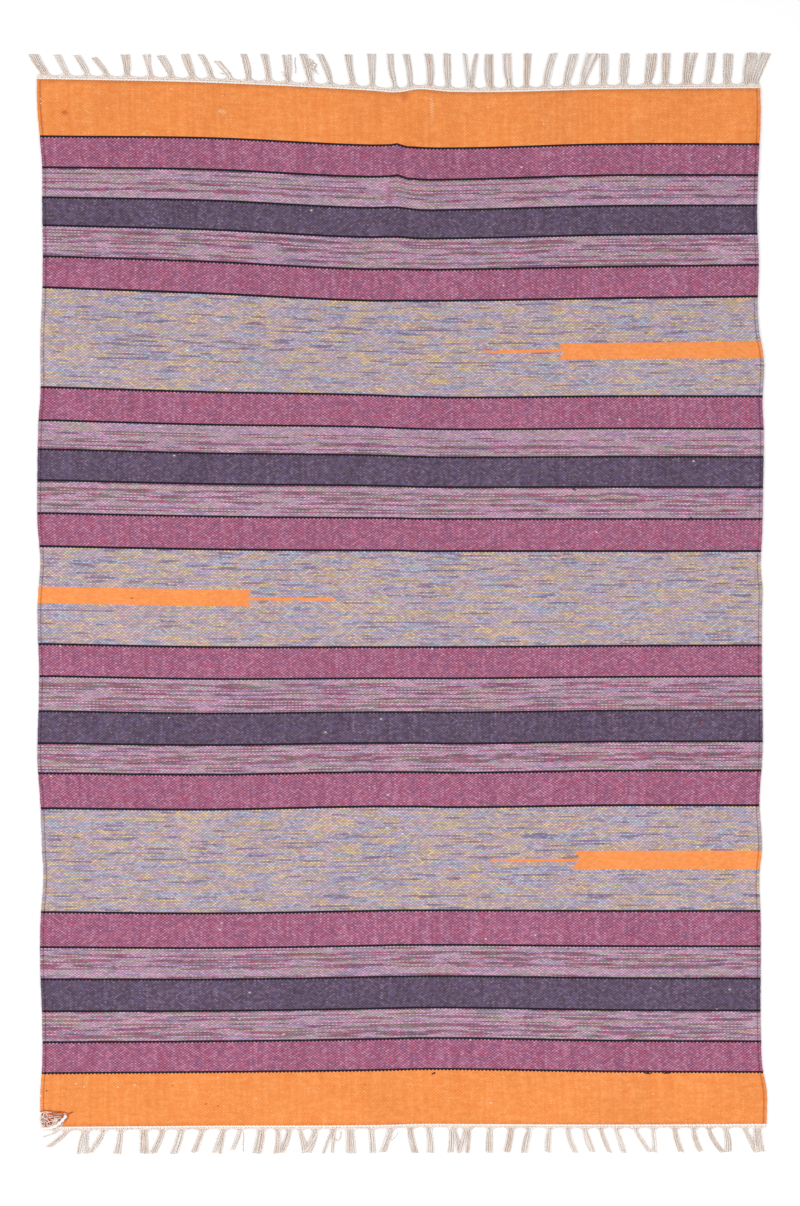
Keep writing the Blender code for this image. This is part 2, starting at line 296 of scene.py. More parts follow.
# One lattice of weft floats, over every second warp of every second row. Fullness is 1 on
# the crown of a float and falls to 0 at its rim.
def makeFloatLattice():
    tree, given, result = newGroup(
        "floatLattice", {"Warp": 0.0, "Row": 0.0, "Parity": 0.0, "HalfWidth": 0.95, "HalfHeight": 0.9},
        ["Fullness", "Warp", "Row"],
    )
    rowBase = plus(given["Parity"], 0.5)
    centres = []
    for value, base in ((given["Warp"], given["Parity"]), (given["Row"], rowBase)):
        step = calc("ROUND", over(minus(value, base), 2.0))
        centres.append(timesPlus(step, 2.0, base))
    aside = minus(given["Warp"], centres[0])
    above = minus(given["Row"], centres[1])
    full = 1.0
    for away, half in ((aside, given["HalfWidth"]), (above, given["HalfHeight"])):
        share = over(away, half)
        full = minus(full, times(share, share))
    wire(full, result["Fullness"])
    wire(centres[0], result["Warp"])
    wire(centres[1], result["Row"])
    return tree


# The weft-faced weave: the floats of odd rows lie between those of even rows. Row and Warp
# name the float that shows at a point, and RowShift leads from there to its middle row.
def makeWeftRelief():
    lattice = makeFloatLattice()
    tree, given, result = newGroup(
        "weftRelief", {"Weave": None, "HalfWidth": 0.95, "HalfHeight": 0.9},
        ["Height", "Row", "Warp", "RowShift", "Rib"],
    )
    split = splitVector(given["Weave"])
    shape = {name: given[name] for name in ("HalfWidth", "HalfHeight")}
    even = placeGroup(lattice, Warp=split["X"], Row=split["Y"], Parity=0.0, **shape)
    odd = placeGroup(lattice, Warp=split["X"], Row=split["Y"], Parity=1.0, **shape)
    oddShows = isAbove(odd["Fullness"], even["Fullness"])
    full = larger(odd["Fullness"], even["Fullness"])
    row = mixValues(oddShows, even["Row"], odd["Row"])
    wire(calc("SQRT", larger(full, 0.0)), result["Height"])
    wire(row, result["Row"])
    wire(mixValues(oddShows, even["Warp"], odd["Warp"]), result["Warp"])
    wire(minus(row, split["Y"]), result["RowShift"])
    # Rib is 1 over each warp and 0 between warps; it drives the painted shade between warps.
    turned = calc("COSINE", times(split["X"], 2 * math.pi))
    wire(timesPlus(turned, 0.5, 0.5), result["Rib"])
    return tree


# How the dyed yarn varies: from row to row, in streaks along a row, from float to float,
# with the turn of its two plies, in small patches, by column of warps and over wide areas.
# A patch, cloud or column is given as its noise's steps in a warp and in a row.
toneSteps = {
    "patch": (0.16, 0.21), "cloud": (0.03, 0.022), "column": (0.61, 0.012),
    "rowsApart": 7.31,      # so that neighbouring rows have unlike streaks
    "dashLength": 0.6,      # as a share of a streak's
    "dashOffset": 93.0,
    "turnWander": 2.5,
}


def makeYarnTones():
    steps = toneSteps
    tree, given, result = newGroup(
        "yarnTones",
        {"Row": 0.0, "Warp": 0.0, "StreakWarps": 12.0, "TurnWarps": 4.2, "Drift": 0.3, "Seed": 0.0},
        ["RowTone", "Streak", "Dash", "Fleck", "Twist", "Patch", "Column", "Cloud"],
    )
    row, warp, seed = given["Row"], given["Warp"], given["Seed"]
    wire(randomBy(row, seed), result["RowTone"])
    wire(randomBy(row, warp, seed), result["Fleck"])
    along = over(warp, given["StreakWarps"])
    apart = timesPlus(row, steps["rowsApart"], seed)
    wire(smoothNoise(along, apart), result["Streak"])
    dash = plus(over(along, steps["dashLength"]), steps["dashOffset"])
    wire(smoothNoise(dash, apart, 1.0, 0.0), result["Dash"])
    areas = {}
    for name, detail in (("patch", 1.0), ("cloud", 2.0)):
        across = timesPlus(warp, steps[name][0], seed)
        areas[name] = smoothNoise(across, times(row, steps[name][1]), 1.0, detail)
        wire(areas[name], result[name.capitalize()])
    phase = timesPlus(row, given["Drift"], over(warp, given["TurnWarps"]))
    phase = timesPlus(areas["patch"], steps["turnWander"], phase)
    turned = calc("SINE", times(phase, 2 * math.pi))
    wire(timesPlus(turned, 0.5, 0.5), result["Twist"])
    across, along = steps["column"]
    column = smoothNoise(times(warp, across), timesPlus(row, along, seed))
    wire(column, result["Column"])
    return tree


# The thin lines between stripes: two rows of one yarn, one on each side of the boundary. The
# first is beaten down under the stripe before it, by Squeeze.
def makeBoundaryRows():
    tree, given, result = newGroup(
        "boundaryRows", {"StripeRows": None, "RowShift": 0.0, "Squeeze": 2.6}, ["Line"]
    )
    split = splitVector(given["StripeRows"])
    before = plus(split["X"], given["RowShift"])
    after = minus(split["Y"], given["RowShift"])
    lineFloat = isBelow(smaller(before, after), 1.0)
    squeezed = times(split["Y"], given["Squeeze"])
    near = isBelow(smaller(split["X"], squeezed), 1.5)
    wire(times(lineFloat, near), result["Line"])
    return tree


midGrey = (0.5, 0.5, 0.5, 1.0)
strayYarns = [(0.0, "#EFE4DC"), (0.5, "#C9566B"), (0.7, "#5B4460"), (0.9, "#7FA79A")]


# Loose bits of other yarn caught in the weft: a few floats, light or dark, at random.
def makeStrayFlecks():
    tree, given, result = newGroup(
        "strayFlecks",
        {"Color": midGrey, "Row": 0.0, "Warp": 0.0, "Share": 0.001, "Strength": 0.6, "Seed": 0.0},
        ["Color"],
    )
    draw = randomBy(given["Warp"], given["Row"], plus(given["Seed"], 31.7))
    stray = isBelow(draw, given["Share"])
    pick = randomBy(given["Row"], given["Warp"], 5.3)
    tint = colourRamp(pick, strayYarns, "CONSTANT")
    strength = times(stray, given["Strength"])
    wire(mixColours(strength, given["Color"], tint), result["Color"])
    return tree


# Painted shade in the pressed line between each selvedge and the field, a little short of 2 warps in.
def makeSeamShade():
    tree, given, result = newGroup(
        "seamShade", {"Weave": None, "Warp": 2.0, "Half": 0.4, "Shade": 0.5}, ["Bright"]
    )
    warp = splitVector(given["Weave"])["X"]
    inward = smaller(warp, minus(float(rugPlan["warps"]), warp))
    away = sizeOf(minus(inward, given["Warp"]))
    depth = minus(1.0, over(away, given["Half"]), clamp=True)
    wire(minus(1.0, times(depth, given["Shade"])), result["Bright"])
    return tree


# A soft oval patch some warps wide and some rows long, blended towards a tint, for stains and for painted
# shade on the weft's fold.
def makeSoftStainAndFoldShade():
    tree, given, result = newGroup(
        "softStainAndFoldShade",
        {"Color": midGrey, "Tint": midGrey, "Row": 0.0, "Warp": 0.0, "MidRow": 0.0, "MidWarp": 0.0,
         "HalfRows": 2.0, "HalfWarps": 2.0, "Strength": 0.5},
        ["Color"],
    )
    left = 1.0
    for name in ("Row", "Warp"):
        away = minus(given[name], given["Mid" + name])
        share = over(away, given["Half" + name + "s"])
        left = minus(left, times(share, share), clamp=True)
    share = times(left, given["Strength"])
    wire(mixColours(share, given["Color"], given["Tint"]), result["Color"])
    return tree


weftRelief = makeWeftRelief()
seamShade = makeSeamShade()
softStainAndFoldShade = makeSoftStainAndFoldShade()
yarnTones = makeYarnTones()
boundaryRows = makeBoundaryRows()
strayFlecks = makeStrayFlecks()

# The floats' half width in warps and half height in rows, the shade between them, the shade
# between warps, how much floats differ, how long a streak is, how strongly stray flecks show,
# the tones that pick a colour, the colours, and tints over them. A tint has a tone, the two
# values that it runs between, its strength and colour, and may keep to some rows.
weftLooks = {
    "orange": {
        "floats": (1.0, 0.95), "gap": 0.2, "rib": 0.1, "grain": 0.03, "streakWarps": 14.0, "stray": 0.3,
        "tones": {"Column": 0.35, "Streak": 0.25, "Patch": 0.28, "Fleck": 0.12},
        "colours": [(0.3, "#EC853F"), (0.5, "#F19049"), (0.7, "#F99F5D")],
        "tints": [],
    },
    "plum": {
        "floats": (1.0, 0.95), "gap": 0.78, "rib": 0.2, "grain": 0.05, "streakWarps": 9.0, "stray": 0.6,
        "tones": {"Fleck": 0.4, "Twist": 0.1, "Column": 0.5},
        "colours": [(0.2, "#A05878"), (0.45, "#B16988"), (0.6, "#BC7594"), (0.8, "#CA8CA8")],
        "tints": [("Patch", 0.58, 0.74, 0.35, "#C95078"), ("Patch", 0.42, 0.28, 0.35, "#8B6392")],
    },
    "pink": {
        "floats": (1.35, 0.8), "gap": 0.98, "rib": 0.12, "grain": 0.2, "streakWarps": 32.0, "stray": 0.6,
        "tones": {"Streak": 0.93, "Fleck": 0.07},
        "colours": [
            (0.32, "#AC94B6"), (0.4, "#CC9CBC"), (0.47, "#BAA3B2"), (0.54, "#DA9FC2"), (0.6, "#B4ACAE"),
            (0.68, "#C0A19E"),
        ],
        "tints": [("Dash", 0.38, 0.5, 0.9, [
            (0.32, "#7C5F76"), (0.4, "#A74D70"), (0.47, "#877180"), (0.54, "#BA587A"), (0.6, "#81837F"),
            (0.68, "#916A70"),
        ], (isAbove, 0.47))],
    },
    "aubergine": {
        "floats": (1.0, 0.95), "gap": 0.6, "rib": 0.2, "grain": 0.07, "streakWarps": 10.0, "stray": 0.5,
        "tones": {"Fleck": 0.42, "Column": 0.38, "Cloud": 0.2},
        "colours": [(0.25, "#56435A"), (0.48, "#645168"), (0.66, "#705C74"), (0.78, "#816D88")],
        "tints": [("Patch", 0.55, 0.7, 0.4, "#6A5C86")],
    },
    "grey": {
        "floats": (1.4, 0.78), "gap": 0.9, "rib": 0.1, "grain": 0.2, "streakWarps": 26.0, "stray": 0.6,
        "tones": {"Streak": 0.84, "Fleck": 0.06, "Cloud": 0.1},
        "colours": [
            (0.32, "#A898B8"), (0.38, "#AEBBCC"), (0.43, "#C0AAC5"), (0.48, "#C1B1B2"), (0.53, "#CDA7B2"),
            (0.58, "#DABE8B"), (0.63, "#C3B6AE"), (0.7, "#B5A1BF"),
        ],
        "tints": [("Dash", 0.6, 0.7, 0.65, "#77648A", (isBelow, 0.45))],
    },
}
# Stains and painted shade: the dark orange patch at row 4 and the dark pink one at row 78 are painted shade
# on the weft's fold by the pleat; the others are stains and a light streak along the warps.
stainsAndFoldShade = [  # yarn, row, warp, half rows, half warps, tint, strength
    ("orange", 4.0, 199.6, 5.0, 3.2, "#D4662C", 0.6),
    ("orange", 24.5, 14.8, 2.6, 2.6, "#D05A24", 0.8),
    ("orange", 22.0, 101.0, 2.2, 2.0, "#F2C8A0", 0.5),
    ("orange", 13.0, 214.5, 11.0, 1.3, "#F8C79C", 0.4),
    ("pink", 78.0, 190.5, 9.0, 2.3, "#B4708E", 0.75),
]


def paintWeft(relief, tones, yarn):
    look = weftLooks[yarn]
    tone = 0.0
    for name, share in look["tones"].items():
        tone = timesPlus(tones[name], share, tone)
    colour = colourRamp(tone, look["colours"])
    for name, low, high, strength, tint, *rows in look["tints"]:
        share = rescale(tones[name], low, high, 0.0, strength)
        for isShown, edge in rows:
            share = times(share, isShown(tones["RowTone"], edge))
        tint = shade(tint) if isinstance(tint, str) else colourRamp(tone, tint)
        colour = mixColours(share, colour, tint)
    # Stains, and painted shade on the weft's fold by the pleat.
    for name, row, warp, halfRows, halfWarps, tint, strength in stainsAndFoldShade:
        if name == yarn:
            colour = placeGroup(
                softStainAndFoldShade, Color=colour, Tint=shade(tint), Row=relief["Row"], Warp=relief["Warp"],
                MidRow=row, MidWarp=warp, HalfRows=halfRows, HalfWarps=halfWarps, Strength=strength,
            )["Color"]
    return colour


# The orange figures in the grey stripes: a block from one side with a fishtail tip, and a
# thin line that runs on from the notch. Warps are counted from the left side.
orangeFigures = [
    {"middle": 189.1, "side": 1, "tip": 281.5, "thinEnd": 240.4, "halfRows": 5.5, "notch": 4.4},
    {"middle": 370.8, "side": -1, "tip": 115.9, "thinEnd": 161.5, "halfRows": 5.6, "notch": 2.7},
    {"middle": 561.0, "side": 1, "tip": 290.0, "thinEnd": 245.2, "halfRows": 5.6, "notch": 4.4},
]
figureLook = {
    "colours": [(0.0, "#F18D46"), (1.0, "#F79B5A")],
    "calm": 0.86,       # how far it leaves the grey yarn's painted shade between floats, and its grain
    "wanderStep": 0.09,
    "wander": 0.5,          # rows that the thin line wavers to each side
    "thinHalf": (0.55, 1.0),    # its half thickness in rows, at its end and where it stops widening
    "taper": 0.45,
}


def addOrangeFigures(relief, colour):
    look = figureLook
    mask = 0.0
    for figure in orangeFigures:
        aside = minus(relief["Row"], figure["middle"])
        above = sizeOf(aside)
        inside = isBelow(above, figure["halfRows"])
        into = times(minus(relief["Warp"], figure["tip"]), float(figure["side"]))
        depth = rescale(above, 0.0, figure["halfRows"], figure["notch"], 0.0)
        block = times(inside, isAbove(into, depth))
        reach = (figure["thinEnd"] - figure["tip"]) * figure["side"]
        wander = smoothNoise(times(relief["Warp"], look["wanderStep"]), figure["middle"])
        wander = rescale(wander, 0.3, 0.7, -look["wander"], look["wander"])
        thinRow = sizeOf(plus(aside, wander))
        thin = isBelow(thinRow, rescale(into, reach, reach * look["taper"], *look["thinHalf"]))
        thin = times(thin, isAbove(into, reach))
        thin = times(thin, isBelow(into, figure["notch"] + 1.0))
        mask = larger(larger(block, thin), mask)
    tint = randomBy(relief["Row"], relief["Warp"], 2.2)
    orange = colourRamp(tint, look["colours"])
    return mixColours(mask, colour, orange), times(mask, look["calm"])


# One material for each weft yarn, all on the same weave.
weaveLook = {
    "rim": (0.5, 0.95),     # the heights of a float between which its painted shade lifts
    "cloud": (0.96, 1.03),
    "calmBright": 0.97,
    "strayShare": 0.001,
    "bump": (0.6, 0.6),     # strength, and depth in mm
    "line": "#1C1420",
    "surface": {
        "Roughness": 0.88, "Specular IOR Level": 0.25, "Sheen Weight": 0.06, "Sheen Roughness": 0.6,
    },
}
seamLook = {"Warp": 1.95, "Half": 0.42, "Shade": 0.5}   # painted shade in the pressed line beside each selvedge


def makeWeftMaterial(yarn, seed):
    look = weftLooks[yarn]
    material, shader = newMaterial("weft" + yarn.capitalize(), weaveLook["surface"])
    weave, stripe = readMap(material, "weave"), readMap(material, "stripe")
    halfWidth, halfHeight = look["floats"]
    relief = placeGroup(weftRelief, Weave=weave, HalfWidth=halfWidth, HalfHeight=halfHeight)
    place = {"Row": relief["Row"], "Warp": relief["Warp"], "Seed": seed}
    tones = placeGroup(yarnTones, StreakWarps=look["streakWarps"], **place)
    colour, calm = paintWeft(relief, tones, yarn), 0.0
    if yarn == "grey":
        colour, calm = addOrangeFigures(relief, colour)
    flecked = placeGroup(
        strayFlecks, Color=colour, Share=weaveLook["strayShare"], Strength=look["stray"], **place
    )
    line = placeGroup(boundaryRows, StripeRows=stripe, RowShift=relief["RowShift"])["Line"]
    colour = mixColours(line, flecked["Color"], shade(weaveLook["line"]))
    # Painted shade: darker between floats (gap), between warps (rib) and in the pressed line by each
    # selvedge (seam), multiplied into the colour with the yarn's own grain and cloud tones.
    bright = rescale(relief["Height"], *weaveLook["rim"], 1.0 - look["gap"], 1.0)
    bright = mixValues(calm, bright, weaveLook["calmBright"])
    grain = rescale(tones["Fleck"], 0.0, 1.0, 1.0 - look["grain"], 1.0 + look["grain"])
    grain = mixValues(calm, grain, 1.0)
    cloud = rescale(tones["Cloud"], 0.3, 0.7, *weaveLook["cloud"])
    ribs = timesPlus(relief["Rib"], look["rib"], 1.0 - look["rib"] * 0.6)
    seam = placeGroup(seamShade, Weave=weave, **seamLook)["Bright"]
    for share in (grain, cloud, ribs, seam):
        bright = times(bright, share)
    colour = mixColours(1.0, colour, vector(bright, bright, bright), "MULTIPLY")
    finishMaterial(shader, colour, relief["Height"], *weaveLook["bump"])
    return material


yarnNames = list(weftLooks)
weftMaterials = [makeWeftMaterial(yarn, 3.0 + 4.0 * k) for k, yarn in enumerate(yarnNames)]
print("weft materials made:", ", ".join(yarnNames))


cottonSurface = {"Roughness": 0.92, "Specular IOR Level": 0.2, "Sheen Weight": 0.08}
cottonGrain = {
    "stain": 0.55,              # the share of the tone that changes along a strand
    "stainStep": (3.7, 0.11),   # from strand to strand, and for a mm
    "fibreStep": (5.0, 5.1),    # round a strand, and from strand to strand
    "fibreScale": 3.0,
    "bump": (0.5, 0.2),         # strength, and depth in mm
}


# Plied cotton, with painted shade in the grooves between fibres. The strand map holds a strand's number and
# how far along it a point is, in mm.
def makeCottonMaterial(name, look):
    grain = cottonGrain
    material, shader = newMaterial(name, cottonSurface)
    split = splitVector(readMap(material, "strand"))
    number, around = calc("FLOOR", split["X"]), calc("FRACT", split["X"])
    own = randomBy(number, 1.7)
    apart, along = (times(value, step) for value, step in zip((number, split["Y"]), grain["stainStep"]))
    stain = smoothNoise(apart, along, 1.0, 2.0)
    colour = colourRamp(mixValues(grain["stain"], own, stain), look["stops"])
    aroundStep, apart = grain["fibreStep"]
    slope = timesPlus(around, aroundStep, times(split["Y"], look["fibres"]))
    fibre = smoothNoise(slope, times(number, apart), grain["fibreScale"], 2.0)
    # Painted shade: darker towards the deep colour along the grooves between fibres; the same fibre noise
    # gives the bump.
    deep = rescale(fibre, 0.35, 0.65, look["fibreShade"], 0.0)
    colour = mixColours(deep, colour, shade(look["deep"]))
    finishMaterial(shader, colour, fibre, *grain["bump"])
    return material


# Each cotton: its own colours, the deep colour of its painted shade between fibres, how steeply the fibres
# wind, and how strong that painted shade is.
cottonLooks = {
    "warpCotton": {
        "stops": [(0.3, "#EFDACC"), (0.5, "#FAEFE6"), (0.7, "#FFFBF7")],
        "deep": "#C9A997", "fibres": 0.9, "fibreShade": 0.26,
    },
    "headingCotton": {
        "stops": [(0.3, "#F8F4EF"), (0.6, "#FEFCFA")],
        "deep": "#D9CABB", "fibres": 0.7, "fibreShade": 0.15,
    },
    "tornWeft": {
        "stops": [(0.3, "#C8521C"), (0.6, "#EC8038")],
        "deep": "#86290E", "fibres": 0.7, "fibreShade": 0.55,
    },
    "soiledCotton": {
        "stops": [(0.3, "#C0B0A6"), (0.6, "#E0D3C9")],
        "deep": "#94857B", "fibres": 0.9, "fibreShade": 0.35,
    },
    "orangeYarn": {
        "stops": [(0.3, "#E8762F"), (0.6, "#F79C58")],
        "deep": "#B0501E", "fibres": 0.9, "fibreShade": 0.3,
    },
    "darkYarn": {
        "stops": [(0.3, "#2A1D2C"), (0.6, "#4A3444")],
        "deep": "#160F18", "fibres": 0.9, "fibreShade": 0.4,
    },
}
cotton = {name: makeCottonMaterial(name, look) for name, look in cottonLooks.items()}
print("cotton materials made")


# A mesh from points in metres. Each map is (name, one pair of values for every corner).
def makePiece(name, points, faces, materials, slots, maps):
    mesh = bpy.data.meshes.new(name)
    mesh.from_pydata(np.asarray(points).tolist(), [], faces)
    for material in materials:
        mesh.materials.append(material)
    mesh.polygons.foreach_set("material_index", np.asarray(slots, np.int32))
    for label, values in maps:
        layer = mesh.uv_layers.new(name=label)
        layer.uv.foreach_set("vector", np.asarray(values, np.float32).ravel())
    mesh.polygons.foreach_set("use_smooth", np.ones(len(faces), bool))
    mesh.update()
    piece = bpy.data.objects.new(name, mesh)
    bpy.context.scene.collection.objects.link(piece)
    return piece


farOff = 1000.0     # rows


def warpNumber(rows, across):
    left, right = sideAt(rows, leftSide), sideAt(rows, rightSide)
    return (across - left) / (right - left) * rugPlan["warps"]


# A piece in the weft materials, from four-cornered faces, the stripe of each, and the warp and
# row of each point. The stripe map counts rows from each stripe's two ends. The rug's own
# ends count from far off, because no line is woven there, and so do the caps of a selvedge.
def makeWovenPiece(name, points, faces, stripes, warps, rows, caps=()):
    flat = np.array(faces).ravel()
    stripeOf = np.repeat(np.array(stripes), 4)
    starts = rowMarks[stripeOf] - np.where(stripeOf == 0, farOff, 0)
    ends = rowMarks[stripeOf + 1] + np.where(stripeOf == len(stripeRows) - 1, farOff, 0)
    capCorners = [corner for cap in caps for corner in cap]
    stripeMap = np.stack((rows[flat] - starts, ends - rows[flat]), axis=-1)
    stripeMap = np.vstack((stripeMap, np.full((len(capCorners), 2), farOff)))
    flat = np.concatenate((flat, capCorners)).astype(int)
    weave = np.stack((warps[flat], rows[flat]), axis=-1)
    capStripes = [stripes[0], stripes[-1]] if caps else []
    slots = [yarnNames.index(rugPlan["stripes"][k][0]) for k in stripes + capStripes]
    maps = [("weave", weave), ("stripe", stripeMap)]
    return makePiece(name, points, [*faces, *caps], weftMaterials, slots, maps)


def stations(spacing):
    marks = []
    for k, (first, last) in enumerate(zip(rowMarks, rowMarks[1:])):
        steps = max(1, round(stripeLengths[k] / spacing))
        marks += [(first + (last - first) * s / steps, k) for s in range(steps)]
    return marks + [(lastRow, len(stripeRows) - 1)]


clothLook = {
    "cell": 9.0,
    "grooveColumns": (0.0, 1.5, 3.0, 5.0),  # mm in from the cloth's sides, and then the next one
    "firstColumn": 9.0,
    "inset": 0.8,           # how far the cloth begins inside the selvedges, as a share of their width
    "thick": 3.9,
    "endThick": 3.6,
    "grooveThick": 3.1,
    "grooveReach": 4.0,
    "ripple": 0.28,
    "waves": [  # metres across and along, share
        (0.21, 0.048, 0.5), (0.095, -0.31, 0.3), (0.7, 0.13, 0.45), (-0.16, 0.083, 0.25), (0.42, 0.27, 0.4),
    ],
    "uneven": 0.035,
    "crease": 0.5,
    "creaseWidth": 5.0,
    "fade": (20.0, 6.0),    # mm from a side and rows from an end over which the ripples begin
    "seed": 12,
}


def rippleHeight(x, y):
    total = np.zeros_like(x)
    for k, (across, along, share) in enumerate(clothLook["waves"]):
        total += share * np.sin(2 * math.pi * (x / across + y / along) + 1.9 * k)
    return total * clothLook["ripple"] * mm


# The woven field: one closed sheet, flat underneath, with the pressed lines beside the selvedges.
def makeCloth():
    look = clothLook
    rng = np.random.default_rng(look["seed"])
    marks = stations(look["cell"])
    rows = np.array([row for row, _ in marks])
    inset = rugPlan["selvedge"] * look["inset"]
    left, right = sideAt(rows, leftSide) + inset, sideAt(rows, rightSide) - inset
    inner = float((right - left).mean())
    near = np.array(look["grooveColumns"])
    middle = np.linspace(look["firstColumn"], inner - look["firstColumn"], round(inner / look["cell"]))
    shares = np.concatenate((near, middle, inner - near[::-1])) / inner
    across = left[:, None] + (right - left)[:, None] * shares[None, :]
    rowGrid = np.repeat(rows[:, None], len(shares), axis=1)
    x = acrossX(across)
    y = rowY(rowGrid.ravel(), across.ravel()).reshape(x.shape)
    aside = np.minimum(shares, 1 - shares)[None, :] * inner
    rise = np.clip(aside / look["grooveReach"], 0, 1)
    top = look["grooveThick"] + (look["thick"] - look["grooveThick"]) * rise * rise * (3 - 2 * rise)
    top = np.repeat(top, len(rows), axis=0)
    top[[0, -1]] -= look["thick"] - look["endThick"]
    fromEnd = np.minimum(rowGrid, lastRow - rowGrid)
    fade = np.clip(aside / look["fade"][0], 0, 1) * np.clip(fromEnd / look["fade"][1], 0, 1)
    crease = np.exp(-((across - rugPlan["pleat"][0]) / look["creaseWidth"]) ** 2)
    crease = look["crease"] * mm * crease * pleatShare(rowGrid)
    z = top * mm + (rippleHeight(x, y) + crease + rng.uniform(-1, 1, x.shape) * look["uneven"] * mm) * fade
    count = x.size
    upper = np.stack((x, y, z), axis=-1).reshape(-1, 3)
    lower = np.stack((x, y, np.zeros_like(z)), axis=-1).reshape(-1, 3)
    points = np.vstack((upper, lower))
    warps = np.tile(warpNumber(rows, across.T).T.ravel(), 2)
    faces, stripes = [], []
    wide = len(shares)
    for r in range(len(rows) - 1):
        stripe = marks[r][1]
        base = r * wide
        for c in range(wide - 1):
            a, b = base + c, base + c + wide
            faces.append((a, b, b + 1, a + 1))
            faces.append((a + count, a + 1 + count, b + 1 + count, b + count))
            stripes += [stripe, stripe]
        for a, way in ((base, 1), (base + wide - 1, -1)):
            side = (a, a + count, a + wide + count, a + wide)
            faces.append(side[::way])
            stripes.append(stripe)
    for base, stripe, way in ((0, 0, 1), ((len(rows) - 1) * wide, len(stripeRows) - 1, -1)):
        for a in range(base, base + wide - 1):
            faces.append((a, a + 1, a + 1 + count, a + count)[::way])
            stripes.append(stripe)
    return makeWovenPiece("kilimCloth", points, faces, stripes, warps, np.tile(rowGrid.ravel(), 2))


kilimCloth = makeCloth()
print("cloth made:", len(kilimCloth.data.polygons), "faces")

# Selvedges: the weft turns round a bundle of outer warps, one loop to every second row.
selvedgeLook = {
    "stationsPerRow": 2,
    "sides": 9,
    "height": 4.7,
    "loop": 0.13,       # how deep the dents between loops are, as a share of the radius
    "wander": 0.28,     # mm that a loop stands out or in
    "dentSharpness": 0.7,   # lower is sharper
    "slope": 0.35,      # rows that a loop climbs from the outside to the inside
    "leftLastRow": 742,     # the tear begins below it
    "seed": 5,
}


def makeSelvedge(name, column, side, lastSelvedgeRow):
    look = selvedgeLook
    draw = np.random.default_rng(look["seed"] + column)
    perRow = look["stationsPerRow"]
    rows = np.arange(0, lastSelvedgeRow * perRow + 1) / perRow
    stripe = np.clip(np.searchsorted(rowMarks, rows, side="right") - 1, 0, len(stripeRows) - 1)
    edge = sideAt(rows, column)
    half = rugPlan["selvedge"] / 2
    loops = draw.uniform(-1, 1, len(rows) // (2 * perRow) + 2)
    out = np.interp(rows / 2, np.arange(len(loops)), loops) * look["wander"]
    points, warps = [], []
    angles = np.arange(look["sides"]) / look["sides"] * 2 * math.pi
    for angle in angles:
        rib = np.abs(np.sin(math.pi * (rows + look["slope"] * math.cos(angle)) / 2)) ** look["dentSharpness"]
        radius = 1 - look["loop"] * (1 - rib)
        across = edge + side * half - side * (half * radius + out) * math.cos(angle)
        high = look["height"] / 2 * (1 + radius * math.sin(angle))
        y = rowY(rows, across)
        points.append(np.stack((acrossX(across), y, high * mm), axis=-1))
        warps.append(warpNumber(rows, across))
    around = look["sides"]
    points, warps = np.stack(points, axis=1).reshape(-1, 3), np.stack(warps, axis=1).ravel()
    faces, stripes = [], []
    for r in range(len(rows) - 1):
        for k in range(around):
            n = (k + 1) % around
            a, b = r * around + k, r * around + n
            faces.append((a, b, b + around, a + around)[::-side])
            stripes.append(int(stripe[r]))
    lastRing = (len(rows) - 1) * around
    caps = [tuple(range(around))[::side], tuple(range(lastRing, lastRing + around))[::-side]]
    return makeWovenPiece(name, points, faces, stripes, warps, np.repeat(rows, around), caps)


leftSelvedge = makeSelvedge("leftSelvedge", leftSide, 1, selvedgeLook["leftLastRow"])
rightSelvedge = makeSelvedge("rightSelvedge", rightSide, -1, int(lastRow))
print("selvedges made")


# The near left corner is torn off: the missing bit's outline, in mm in from the cloth's corner.
tornCorner = [
    (-14, 26), (3, 25), (9, 26.5), (15, 27), (21, 25), (27, 24), (33, 24.5), (38, 24),
    (43, 22), (45, 19), (43.5, 15), (40, 11), (37, 4), (33, -1), (30, -14), (-14, -14),
]
cutHeights = (-6, 12)   # mm, well below and above the cloth
cornerAcross = float(sideAt(lastRow, leftSide)[0])
cornerX = float(acrossX(cornerAcross))
cornerY = float(rowY(lastRow, cornerAcross)[0])


def cornerPoint(inward, upward, high):
    return (cornerX + inward * mm, cornerY + upward * mm, high * mm)


def tearCorner(cloth):
    sides = len(tornCorner)
    points = [cornerPoint(*place, high) for high in cutHeights for place in tornCorner[::-1]]
    faces = [tuple(range(sides))[::-1], tuple(range(sides, 2 * sides))]
    faces += [(k, (k + 1) % sides, (k + 1) % sides + sides, k + sides) for k in range(sides)]
    warpGap = (clothHigh.x - clothLow.x) / rugPlan["warps"]
    rowGap = stripeLengths[-1] / stripeRows[-1] * mm
    corners = [points[k] for face in faces for k in face]
    weave = [((x - cornerX) / warpGap, lastRow - (y - cornerY) / rowGap) for x, y, _ in corners]
    maps = [("weave", weave), ("stripe", [(farOff, farOff)] * len(corners))]
    cutter = makePiece("cornerCutter", points, faces, weftMaterials[:1], [0] * len(faces), maps)
    bpy.context.view_layer.objects.active = cloth
    cut = cloth.modifiers.new("tornCorner", "BOOLEAN")
    cut.operation = "DIFFERENCE"
    cut.solver = "EXACT"
    cut.object = cutter
    bpy.ops.object.modifier_apply(modifier=cut.name)
    bpy.data.objects.remove(cutter, do_unlink=True)


tearCorner(kilimCloth)
print("corner torn")


# Strands of yarn are gathered in a store and made into one piece. Each is two plies turned
# round each other: an oval section that turns as it goes along. Around a strand its map runs
# from its own number to just short of the next strand's.
shortOfNext = 0.002


def newStore():
    return {"points": [], "faces": [], "maps": [], "count": 0, "strands": 0}


